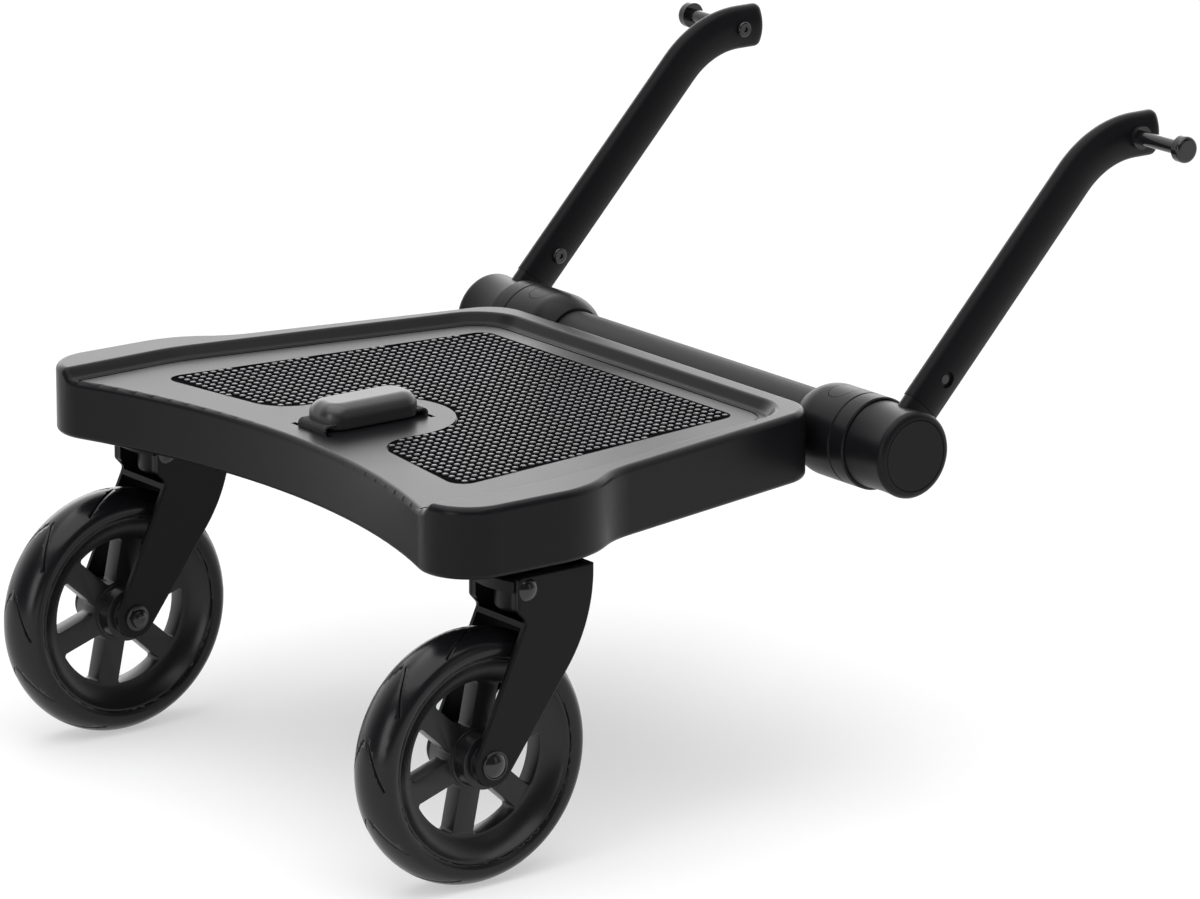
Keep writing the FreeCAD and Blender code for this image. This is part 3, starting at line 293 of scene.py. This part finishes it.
# %% Finish builder
gloss_play = 0.025
worn_gain = 2.2
worn_lift = 0.012


def finish(name, colour, rough, specular, grain_scale, grain_depth, mottle, scuff, metal=0.0):
    """A finish whose colour, roughness and bump vary over the surface. Returns it with its bump node."""
    made = new_material(name)
    tree = made.node_tree
    skin = node(tree, "ShaderNodeBsdfPrincipled")
    skin.inputs["Specular IOR Level"].default_value = specular
    skin.inputs["Metallic"].default_value = metal
    out = node(tree, "ShaderNodeOutputMaterial")
    tree.links.new(skin.outputs[0], out.inputs[0])
    texture = node(tree, "ShaderNodeGroup", node_tree=grain)
    texture.inputs["Scale"].default_value = grain_scale
    marks = node(tree, "ShaderNodeGroup", node_tree=scuffs)
    marks.inputs["Amount"].default_value = scuff
    shade = node(tree, "ShaderNodeMapRange", To_Min=1.0 - mottle, To_Max=1.0 + mottle)
    tree.links.new(texture.outputs["Mottle"], shade.inputs["Value"])
    tone = node(tree, "ShaderNodeMix", data_type="RGBA", blend_type="MULTIPLY")
    tone.inputs[0].default_value = 1.0
    tone.inputs[6].default_value = (*colour, 1)
    tree.links.new(shade.outputs[0], tone.inputs[7])
    worn = node(tree, "ShaderNodeMix", data_type="RGBA")
    worn.inputs[7].default_value = (*[min(1.0, worn_gain * c + worn_lift) for c in colour], 1)
    tree.links.new(marks.outputs["Mask"], worn.inputs[0])
    tree.links.new(tone.outputs[2], worn.inputs[6])
    tree.links.new(worn.outputs[2], skin.inputs["Base Color"])
    gloss = node(tree, "ShaderNodeMapRange", To_Min=rough - gloss_play, To_Max=rough + gloss_play)
    tree.links.new(texture.outputs["Mottle"], gloss.inputs["Value"])
    tree.links.new(maths(tree, "ADD", gloss.outputs[0], marks.outputs["Mask"]), skin.inputs["Roughness"])
    bump = node(tree, "ShaderNodeBump", Strength=1.0, Distance=grain_depth)
    tree.links.new(texture.outputs["Height"], bump.inputs["Height"])
    tree.links.new(bump.outputs[0], skin.inputs["Normal"])
    return made, bump


# %% Finishes of the record's slots
# Each slot's finish: its name, colour, roughness, specular level, grain scale, grain depth in metres,
# mottle and scuffs, and for bare metal how metallic it is.
recipes = {
    "deck_moulding": ("satin_tray", (0.006, 0.006, 0.007), 0.3, 0.12, 1500, 0.000006, 0.12, 0.02),
    "moulding": ("knuckle_nylon", (0.006, 0.006, 0.007), 0.36, 0.14, 1600, 0.00003, 0.12, 0.12),
    "fork_moulding": ("fork_nylon", (0.005, 0.005, 0.006), 0.38, 0.13, 1600, 0.00004, 0.12, 0.1),
    "rim_moulding": ("rim_nylon", (0.008, 0.008, 0.009), 0.3, 0.32, 1700, 0.00003, 0.12, 0.1),
    "arm_paint": ("powder_coat", (0.005, 0.005, 0.006), 0.38, 0.11, 2600, 0.00003, 0.1, 0.1),
    "bar_paint": ("bar_powder_coat", (0.008, 0.008, 0.009), 0.52, 0.2, 2600, 0.00003, 0.1, 0.1),
    "black_steel": ("black_plated_steel", (0.008, 0.008, 0.009), 0.15, 0.5, 2200, 0.00001, 0.1, 0.08),
    "bright_steel": ("plain_steel", (0.5, 0.5, 0.51), 0.3, 0.5, 900, 0.00001, 0.08, 0.1, 1.0),
    "bush_plastic": ("bush_acetal", (0.55, 0.55, 0.53), 0.4, 0.5, 1500, 0.00001, 0.04, 0.03),
    "mat_rubber": ("mat_rubber", (0.006, 0.006, 0.007), 0.8, 0.0, 1900, 0.00004, 0.15, 0.06),
    "grip_rubber": ("grip_rubber", (0.018, 0.018, 0.019), 0.36, 0.6, 1900, 0.00002, 0.12, 0.08),
    "tyre_rubber": ("tyre_rubber", (0.006, 0.006, 0.007), 0.24, 0.28, 1800, 0.00001, 0.12, 0.06),
    "buffer_rubber": ("buffer_rubber", (0.03, 0.03, 0.031), 0.6, 0.4, 1400, 0.00002, 0.1, 0.05),
}
finishes = {slot: finish(*recipe)[0] for slot, recipe in recipes.items()}
print("finishes:", len(finishes))

# %% [markdown]
# ## Webbing
# The grip hangs on a strap of woven polyester. Its face shows rows of small raised picks, so the weave
# is drawn as two crossed waves: one across the strap, and one along it. The strap runs along Y on top
# and along Z at its ends, so the sum of both measures the way along it everywhere.

# %% Webbing finish
pick_pitch = 0.0011
pick_height = 0.00025
weave, taken, given = group("woven_picks", [("Pitch", "NodeSocketFloat", pick_pitch)],
                            [("Height", "NodeSocketFloat")])
where = node(weave, "ShaderNodeTexCoord")
split = node(weave, "ShaderNodeSeparateXYZ")
weave.links.new(where.outputs["Object"], split.inputs[0])
pitch = maths(weave, "DIVIDE", math.pi, taken.outputs["Pitch"])
across = maths(weave, "SINE", maths(weave, "MULTIPLY", split.outputs["X"], pitch))
length = maths(weave, "ADD", split.outputs["Y"], split.outputs["Z"])
along = maths(weave, "SINE", maths(weave, "MULTIPLY", length, pitch))
weave.links.new(maths(weave, "MULTIPLY", across, along), given.inputs["Height"])
webbing, bump = finish("polyester_webbing", (0.02, 0.02, 0.021), rough=0.75, specular=0.3, grain_scale=1400,
                       grain_depth=0.00005, mottle=0.2, scuff=0.03)
tree = webbing.node_tree
picks = node(tree, "ShaderNodeGroup", node_tree=weave)
woven = node(tree, "ShaderNodeBump", Strength=1.0, Distance=pick_height)
tree.links.new(picks.outputs["Height"], woven.inputs["Height"])
tree.links.new(woven.outputs[0], bump.inputs["Normal"])
finishes["webbing"] = webbing
print("group:", weave.name)

# %% [markdown]
# ## Painting the CAD pieces
# The record says which finish slot each CAD piece has, so the right finish is put in each object's
# own material slot. The CAD meshes themselves stay as they are.

# %% Finish on each CAD piece
for piece in frame["record"]["subparts"]:
    shape = nodes[piece["node"]]
    shape.data.materials.clear()
    shape.data.materials.append(finishes[piece["material_slot"]])

# %% [markdown]
# ## Helpers for shaping
# A piece that needs more shape than the CAD model gives it is made from a copy, or from a primitive.
# A copy of a CAD piece is loose triangles, so its points are merged before anything else. Operators act
# on what is selected, so each helper first picks its object, and edit mode is left when a step is done.

# %% Selecting and copying
weld = 0.000002


def pick(*chosen):
    """Leaves only these objects selected, the last of them active."""
    bpy.ops.object.select_all(action="DESELECT")
    for item in chosen:
        item.select_set(True)
    bpy.context.view_layer.objects.active = chosen[-1]


def edit_all(shape):
    """Goes into edit mode with the whole shape selected."""
    pick(shape)
    bpy.ops.object.mode_set(mode="EDIT")
    bpy.ops.mesh.select_all(action="SELECT")


def select_points(shape, wanted):
    """Goes into edit mode with just the points that pass the test selected."""
    pick(shape)
    bpy.ops.object.mode_set(mode="EDIT")
    bpy.ops.mesh.select_mode(type="VERT")
    bpy.ops.mesh.select_all(action="DESELECT")
    bpy.ops.object.mode_set(mode="OBJECT")
    for point in shape.data.vertices:
        point.select = wanted(point.co)
    bpy.ops.object.mode_set(mode="EDIT")


def free_copy(name, title):
    """A merged copy of a CAD piece that can be reshaped."""
    pick(nodes[name])
    bpy.ops.object.duplicate()
    made = bpy.context.object
    bpy.ops.object.parent_clear(type="CLEAR")
    del made["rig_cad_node"]
    made.name = title
    edit_all(made)
    bpy.ops.mesh.remove_doubles(threshold=weld)
    bpy.ops.object.mode_set(mode="OBJECT")
    return made


# %% [markdown]
# ## The tray
# The long rounded edges of the tray are thin strips of triangles, and where each triangle turns the light
# its own way, a reflection along the edge breaks up. So the tray is copied with its triangles merged, and
# its normals are weighted by the size of the faces: flats stay flat, and rounds turn evenly.

# %% Tray
sliver = 0.00005
tray_flat_turn = math.radians(0.3)
tray_crease = math.radians(68)
tray = free_copy("deck_tray", "moulded_tray")
edit_all(tray)
bpy.ops.mesh.dissolve_degenerate(threshold=sliver)
bpy.ops.mesh.dissolve_limited(angle_limit=tray_flat_turn)
bpy.ops.object.mode_set(mode="OBJECT")
bpy.ops.mesh.customdata_custom_splitnormals_clear()
bpy.ops.object.shade_smooth_by_angle(angle=tray_crease)
even = tray.modifiers.new("even_normals", "WEIGHTED_NORMAL")
even.keep_sharp = True
bpy.ops.object.modifier_apply(modifier="even_normals")
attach(tray, "deck")
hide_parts("deck_tray")
print(tray.name, "faces:", len(tray.data.polygons))

# %% [markdown]
# ## The tread mat
# The mat is a thin rubber sheet, sunk a little below the tread, that bristles with small round pips.
# The sheet is a copy of its CAD piece with a lowered face. One pip is modelled with few faces, because
# there are well over a thousand of them, then repeated in rows and columns, and the pips that would stand
# outside the sheet are deleted.

# %% Mat sheet
sheet_drop = 0.0012
level_play = 0.0001
mat_low, mat_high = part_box("tread_mat")
sheet = free_copy("tread_mat", "mat_sheet")
select_points(sheet, lambda co: co.z > mat_high.z - level_play)
bpy.ops.transform.translate(value=(0, 0, -sheet_drop))
bpy.ops.object.mode_set(mode="OBJECT")
sheet_top = mat_high.z - sheet_drop
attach(sheet, "deck")
print("mat sheet top:", round(sheet_top, 5))

# %% One pip
pitch_x = 0.00578
pitch_y = 0.00536
front_margin = 0.0032
pip_radius = 0.0019
pip_top_radius = 0.00165
pip_height = 0.0012
pip_round = 0.00045
hair = 0.0000001
columns = int((mat_high.x - mat_low.x) / pitch_x)
rows = int((mat_high.y - mat_low.y) / pitch_y)
first_x = -(columns - 1) / 2 * pitch_x
first_y = mat_high.y - front_margin - (rows - 1) * pitch_y


def settle():
    """Puts the active object's place, turn and scale into its mesh."""
    bpy.ops.object.transform_apply(location=True, rotation=True, scale=True)


bpy.ops.object.select_all(action="DESELECT")
bpy.ops.mesh.primitive_cone_add(vertices=8, radius1=pip_radius, radius2=pip_top_radius, depth=pip_height,
                                location=(first_x, first_y, sheet_top + pip_height / 2))
pips = bpy.context.object
pips.name = "mat_pips"
settle()
select_points(pips, lambda co: co.z > sheet_top + pip_height / 2)
bpy.ops.mesh.bevel(offset=pip_round, segments=2)
bpy.ops.mesh.select_all(action="SELECT")
bpy.ops.mesh.bisect(plane_co=(0, 0, sheet_top + hair), plane_no=(0, 0, 1), clear_inner=True)
bpy.ops.object.mode_set(mode="OBJECT")
bpy.ops.object.shade_smooth()
print("faces in one pip:", len(pips.data.polygons))

# %% Grid of pips
for label, count, step in (("across", columns, (pitch_x, 0, 0)), ("along", rows, (0, pitch_y, 0))):
    repeat = pips.modifiers.new(label, "ARRAY")
    repeat.count = count
    repeat.use_relative_offset = False
    repeat.use_constant_offset = True
    repeat.constant_offset_displace = step
    pick(pips)
    bpy.ops.object.modifier_apply(modifier=label)
print("faces in the grid:", len(pips.data.polygons))

# %% Pips that stand on the sheet
foothold_share = 0.6


def on_mat(x, y):
    """True if a pip at this place stands on the sheet, all round."""
    reach = pip_radius * foothold_share
    for side_x, side_y in ((1, 0), (-1, 0), (0, 1), (0, -1)):
        start = Vector((x + side_x * reach, y + side_y * reach, 1.0))
        if not nodes["tread_mat"].ray_cast(start, Vector((0, 0, -1)))[0]:
            return False
    return True


stands = {}
for i in range(columns):
    for j in range(rows):
        stands[i, j] = on_mat(first_x + i * pitch_x, first_y + j * pitch_y)
pick(pips)
bpy.ops.object.mode_set(mode="EDIT")
bpy.ops.mesh.select_mode(type="FACE")
bpy.ops.mesh.select_all(action="DESELECT")
bpy.ops.object.mode_set(mode="OBJECT")
for face in pips.data.polygons:
    cell = (round((face.center.x - first_x) / pitch_x), round((face.center.y - first_y) / pitch_y))
    face.select = not stands[cell]
bpy.ops.object.mode_set(mode="EDIT")
bpy.ops.mesh.delete(type="FACE")
bpy.ops.object.mode_set(mode="OBJECT")
pip_rubber = finish("pip_rubber", (0.008, 0.008, 0.009), rough=0.26, specular=0.5, grain_scale=1900,
                    grain_depth=0.0, mottle=0.1, scuff=0.0)[0]
pips.data.materials.append(pip_rubber)
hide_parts("tread_mat")
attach(pips, "deck")
print("pips:", sum(stands.values()))

# %% [markdown]
# ## The grip's strap
# A flat strap is drawn as it lies: one edge as wide as the webbing is pulled along its way, from the
# loop round the rear stop bar, up its slot, through the grip, and down to the loop round the front bar.
# Solidify gives it its thickness, and a bevel rounds the woven edges.

# %% Way of the strap
strap_thickness = 0.0015
loop_clearance = 0.00005
loop_steps = 18
bend_radius = 0.0023
bend_steps = 5
bars_low, bars_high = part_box("strap_bars")
strap_low, strap_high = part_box("grip_strap")
bar_z = (bars_low.z + bars_high.z) / 2
bar_radius = (bars_high.z - bars_low.z) / 2
rear_y = bars_low.y + bar_radius
front_y = bars_high.y - bar_radius
top_z = strap_high.z - strap_thickness / 2
loop_radius = bar_radius + strap_thickness / 2 + loop_clearance


def arc(centre_y, centre_z, radius, start, end, steps):
    """Points in Y and Z on an arc, its angles in degrees from +Y towards +Z."""
    angles = [math.radians(start + (end - start) * step / steps) for step in range(steps + 1)]
    return [(centre_y + radius * math.cos(a), centre_z + radius * math.sin(a)) for a in angles]


way = arc(rear_y, bar_z, loop_radius, 470, 90, loop_steps)
way += arc(rear_y + bend_radius, top_z - bend_radius, bend_radius, 180, 90, bend_steps)
way += [(rear_y + (front_y - rear_y) * share, top_z) for share in (0.25, 0.5, 0.75)]
way += arc(front_y - bend_radius, top_z - bend_radius, bend_radius, 90, 0, bend_steps)
way += arc(front_y, bar_z, loop_radius, 90, -290, loop_steps)
print("points along the strap:", len(way))

# %% Strap
woven_round = 0.0004
strap_crease = math.radians(40)
half_width = (strap_high.x - strap_low.x) / 2


def round_edges(shape, label, width, angle=30):
    """Bevels the edges that turn by more than this angle."""
    rounds = shape.modifiers.new(label, "BEVEL")
    rounds.width = width
    rounds.segments = 2
    rounds.limit_method = "ANGLE"
    rounds.angle_limit = math.radians(angle)
    pick(shape)
    bpy.ops.object.modifier_apply(modifier=label)


bpy.ops.object.select_all(action="DESELECT")
bpy.ops.mesh.primitive_plane_add(size=2 * half_width, location=(0, way[0][0] + half_width, way[0][1]))
strap = bpy.context.object
strap.name = "webbing_strap"
settle()
select_points(strap, lambda co: co.y > way[0][0] + half_width)
bpy.ops.mesh.delete(type="VERT")
bpy.ops.mesh.select_all(action="SELECT")
for here, there in zip(way, way[1:]):
    step = (0, there[0] - here[0], there[1] - here[1])
    bpy.ops.mesh.extrude_region_move(TRANSFORM_OT_translate={"value": step})
bpy.ops.object.mode_set(mode="OBJECT")
thick = strap.modifiers.new("thickness", "SOLIDIFY")
thick.thickness = strap_thickness
thick.offset = 0.0
bpy.ops.object.modifier_apply(modifier="thickness")
round_edges(strap, "woven_edge", woven_round)
edit_all(strap)
bpy.ops.mesh.normals_make_consistent(inside=False)
bpy.ops.object.mode_set(mode="OBJECT")
bpy.ops.object.shade_smooth_by_angle(angle=strap_crease)
strap.data.materials.clear()
strap.data.materials.append(webbing)
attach(strap, "grip")
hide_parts("grip_strap")
print("strap faces:", len(strap.data.polygons))

# %% [markdown]
# ## Wheel rims
# A moulded edge is never quite sharp, and on black plastic that thin round is what draws the spokes
# and the bowl of the rim. So each rim is a copy of its CAD piece: flat faces are merged, and every sharp
# edge gets a small bevel that catches the light.

# %% Spoked wheels
rim_edge_round = 0.0006
rim_flat_turn = math.radians(0.5)
rim_crease = math.radians(35)
for side in ("left", "right"):
    wheel = free_copy(side + "_wheel_rim", side + "_spoked_wheel")
    edit_all(wheel)
    bpy.ops.mesh.dissolve_limited(angle_limit=rim_flat_turn)
    bpy.ops.object.mode_set(mode="OBJECT")
    round_edges(wheel, "moulded_edge", rim_edge_round, angle=40)
    bpy.ops.object.shade_smooth_by_angle(angle=rim_crease)
    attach(wheel, side + "_wheel")
    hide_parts(side + "_wheel_rim")
    print(wheel.name, "faces:", len(wheel.data.polygons))

# %% [markdown]
# ## Tyres
# The tyres are smooth but for ten thin slits a side, which start near the crown and sweep back as they
# run out to the sidewall. Each tyre is a copy of its CAD piece. One blade is pulled along the way of a
# slit, on points found by casting rays at the tyre. It is then mirrored and turned round the axle, and
# all the blades are cut out of the copy at once.

# %% Way of a slit
slit_count = 10
slit_pitch = 2 * math.pi / slit_count
slit_reach = 0.0134
slit_start_share = 0.1
slit_sweep_share = 0.62
slit_bend = 1.4
slit_steps = 10


def slit_point(tyre, axle, share):
    """A point on the tyre's skin, at this share of a slit's way out, and its direction from the axle."""
    angle = slit_pitch * (0.5 + slit_sweep_share * share ** slit_bend)
    outward = Vector((0, math.cos(angle), math.sin(angle)))
    start = axle + Vector((slit_reach * share, 0, 0)) + outward
    return tyre.ray_cast(start, -outward)[1], outward


print("degrees from slit to slit:", round(math.degrees(slit_pitch), 1))

# %% Blades
slit_width = 0.0010
slit_depth = 0.0018
blade_rise = 0.0030


def slit_blade(way):
    """A blade along the way of one slit, which reaches from below the tyre's skin to above it."""
    outward = way[slit_steps // 2][1]
    along = (way[-1][0] - way[0][0]).normalized()
    across = outward.cross(along).normalized()
    deep = along.cross(across)
    facing = Matrix((across, deep, along)).transposed().to_4x4()
    bpy.ops.object.select_all(action="DESELECT")
    bpy.ops.mesh.primitive_plane_add(size=1.0)
    blade = bpy.context.object
    edit_all(blade)
    bpy.ops.transform.resize(value=(slit_width, slit_depth + blade_rise, 1))
    bpy.ops.object.mode_set(mode="OBJECT")
    blade.matrix_world = Matrix.Translation(way[0][0] + deep * (blade_rise - slit_depth) / 2) @ facing
    settle()
    edit_all(blade)
    for here, there in zip(way, way[1:]):
        bpy.ops.mesh.extrude_region_move(TRANSFORM_OT_translate={"value": there[0] - here[0]})
    bpy.ops.object.mode_set(mode="OBJECT")
    return blade


def ring_of_blades(blade, axle):
    """Mirrors the blade to the tyre's other side, and repeats the pair round the axle."""
    edit_all(blade)
    bpy.ops.mesh.duplicate()
    bpy.ops.transform.resize(value=(-1, 1, 1), center_override=axle)
    bpy.ops.mesh.select_all(action="SELECT")
    for copy in range(slit_count - 1):
        bpy.ops.mesh.duplicate()
        bpy.ops.transform.rotate(value=slit_pitch, orient_axis="X", center_override=axle)
    bpy.ops.mesh.select_all(action="SELECT")
    bpy.ops.mesh.normals_make_consistent(inside=False)
    bpy.ops.object.mode_set(mode="OBJECT")


print("slit width in mm:", slit_width * 1000)

# %% Slit tyres
tyre_crease = math.radians(30)
shares = [slit_start_share + (1 - slit_start_share) * step / slit_steps for step in range(slit_steps + 1)]
for side in ("left", "right"):
    low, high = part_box(side + "_tyre")
    axle = (low + high) / 2
    blade = slit_blade([slit_point(nodes[side + "_tyre"], axle, share) for share in shares])
    ring_of_blades(blade, axle)
    tyre = free_copy(side + "_tyre", side + "_slit_tyre")
    cut = tyre.modifiers.new("slits", "BOOLEAN")
    cut.operation = "DIFFERENCE"
    cut.solver = "EXACT"
    cut.object = blade
    pick(tyre)
    bpy.ops.object.modifier_apply(modifier="slits")
    bpy.data.objects.remove(blade)
    bpy.ops.object.shade_smooth_by_angle(angle=tyre_crease)
    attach(tyre, side + "_wheel")
    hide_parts(side + "_tyre")
    print(tyre.name, "faces:", len(tyre.data.polygons))

# %% [markdown]
# ## Axle ends
# On the inner side of each fork the axle ends in a washer and a closed nut, smaller than the washer. On
# the outer side the bolt's domed head has a thin rolled rim. Both are simple turned forms: cylinders,
# a flattened ball and a thin ring, all along X.

# %% Washers and closed nuts
along_x = (0, math.pi / 2, 0)
outward_of = {"left": -1, "right": 1}
washer_radius = 0.0074
washer_end = 0.0012
nut_radius = 0.0055
nut_end = 0.0041
dome_radius = 0.0044
dome_middle = 0.0035
dome_flatness_share = 0.34
turned_round = 0.0003
turned_crease = math.radians(35)
turned_forms = ((40, washer_radius, 0, washer_end), (6, nut_radius, washer_end, nut_end))
for side, outward in outward_of.items():
    low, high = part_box(side + "_axle_nut")
    middle = (low + high) / 2
    seat_x = high.x if outward > 0 else low.x
    turned = []
    for corners, radius, start, end in turned_forms:
        bpy.ops.object.select_all(action="DESELECT")
        spot = (seat_x - outward * (start + end) / 2, middle.y, middle.z)
        bpy.ops.mesh.primitive_cylinder_add(vertices=corners, radius=radius, depth=end - start,
                                            location=spot, rotation=along_x)
        turned.append(bpy.context.object)
    bpy.ops.object.select_all(action="DESELECT")
    bpy.ops.mesh.primitive_uv_sphere_add(segments=24, ring_count=12, radius=dome_radius,
                                         location=(seat_x - outward * dome_middle, middle.y, middle.z),
                                         scale=(dome_flatness_share, 1, 1))
    turned.append(bpy.context.object)
    pick(*turned)
    bpy.ops.object.join()
    nut = bpy.context.object
    nut.name = side + "_washer_nut"
    settle()
    round_edges(nut, "turned_edge", turned_round)
    bpy.ops.object.shade_smooth_by_angle(angle=turned_crease)
    nut.data.materials.clear()
    nut.data.materials.append(finishes["black_steel"])
    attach(nut, side + "_fork")
    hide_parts(side + "_axle_nut")
    print(nut.name, "faces:", len(nut.data.polygons))

# %% Rims of the axle heads
head_rim_radius = 0.0073
head_rim_wire = 0.0006
for side, outward in outward_of.items():
    low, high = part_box(side + "_axle_bolt")
    middle = (low + high) / 2
    fork_low, fork_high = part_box(side + "_fork")
    face_x = fork_high.x if outward > 0 else fork_low.x
    bpy.ops.object.select_all(action="DESELECT")
    bpy.ops.mesh.primitive_torus_add(major_radius=head_rim_radius, minor_radius=head_rim_wire,
                                     major_segments=48, minor_segments=10, rotation=along_x,
                                     location=(face_x + outward * head_rim_wire, middle.y, middle.z))
    rim = bpy.context.object
    rim.name = side + "_head_rim"
    settle()
    bpy.ops.object.shade_smooth()
    rim.data.materials.append(finishes["black_steel"])
    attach(rim, side + "_fork")
    print(rim.name, "faces:", len(rim.data.polygons))

# %% [markdown]
# ## Rubber buffers of the casters
# Each fork leans on a block of rubber when a wheel meets a kerb. The block is a copy of its CAD piece
# with a waist pulled in at three places, as such buffers have, so that it has room to bulge. It is
# fixed at the bracket's boss.

# %% Buffers
buffer_free_length = 0.0108
ring_shares = (0.12, 0.26, 0.40, 0.54, 0.68, 0.82)
waist_shares = (0.26, 0.54, 0.82)
waist_squeeze = (0.86, 1, 0.8)
on_plane = 0.00001
buffer_crease = math.radians(25)
for side in ("left", "right"):
    low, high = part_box(side + "_buffer")
    middle = (low + high) / 2
    boss_front = high.y - buffer_free_length
    block = free_copy(side + "_buffer", side + "_rubber_block")
    pick(block)
    bpy.ops.object.mode_set(mode="EDIT")
    for share in ring_shares:
        bpy.ops.mesh.select_all(action="SELECT")
        bpy.ops.mesh.bisect(plane_co=(0, boss_front + (high.y - boss_front) * share, 0), plane_no=(0, 1, 0))
    bpy.ops.object.mode_set(mode="OBJECT")
    for share in waist_shares:
        waist_y = boss_front + (high.y - boss_front) * share
        select_points(block, lambda co: abs(co.y - waist_y) < on_plane)
        bpy.ops.transform.resize(value=waist_squeeze, center_override=(middle.x, waist_y, middle.z))
        bpy.ops.object.mode_set(mode="OBJECT")
    pick(block)
    bpy.ops.object.shade_smooth_by_angle(angle=buffer_crease)
    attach(block, side + "_swivel")
    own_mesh(block)
    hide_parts(side + "_buffer")
    print(block.name, "faces:", len(block.data.polygons))

# %% [markdown]
# ## Springs under the buttons
# A coil is a small circle swept round an axis while it climbs, which is just what the Screw modifier
# does. It stands in the well of the knuckle, under the button's stem.

# %% Coil springs
wire_radius = 0.00045
coil_turns = 5
turn_steps = 20
for side in ("left", "right"):
    low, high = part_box(side + "_button_spring")
    middle = (low + high) / 2
    coil_radius = (high.x - low.x) / 2 - wire_radius
    climb = high.z - low.z - 2 * wire_radius
    bpy.ops.object.select_all(action="DESELECT")
    bpy.ops.mesh.primitive_circle_add(vertices=8, radius=wire_radius, location=(coil_radius, 0, 0),
                                      rotation=(math.pi / 2, 0, 0))
    coil = bpy.context.object
    coil.name = side + "_coil_spring"
    settle()
    sweep_up = coil.modifiers.new("sweep", "SCREW")
    sweep_up.axis = "Z"
    sweep_up.iterations = coil_turns
    sweep_up.screw_offset = climb / coil_turns
    sweep_up.steps = turn_steps
    sweep_up.render_steps = turn_steps
    bpy.ops.object.modifier_apply(modifier="sweep")
    edit_all(coil)
    bpy.ops.mesh.remove_doubles(threshold=weld)
    bpy.ops.mesh.fill_holes(sides=0)
    bpy.ops.mesh.select_all(action="SELECT")
    bpy.ops.mesh.normals_make_consistent(inside=False)
    bpy.ops.transform.translate(value=(middle.x, middle.y, low.z + wire_radius))
    bpy.ops.object.mode_set(mode="OBJECT")
    bpy.ops.object.shade_smooth()
    coil.data.materials.append(finishes["bright_steel"])
    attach(coil, "deck")
    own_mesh(coil)
    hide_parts(side + "_button_spring")
    print(coil.name, "faces:", len(coil.data.polygons))
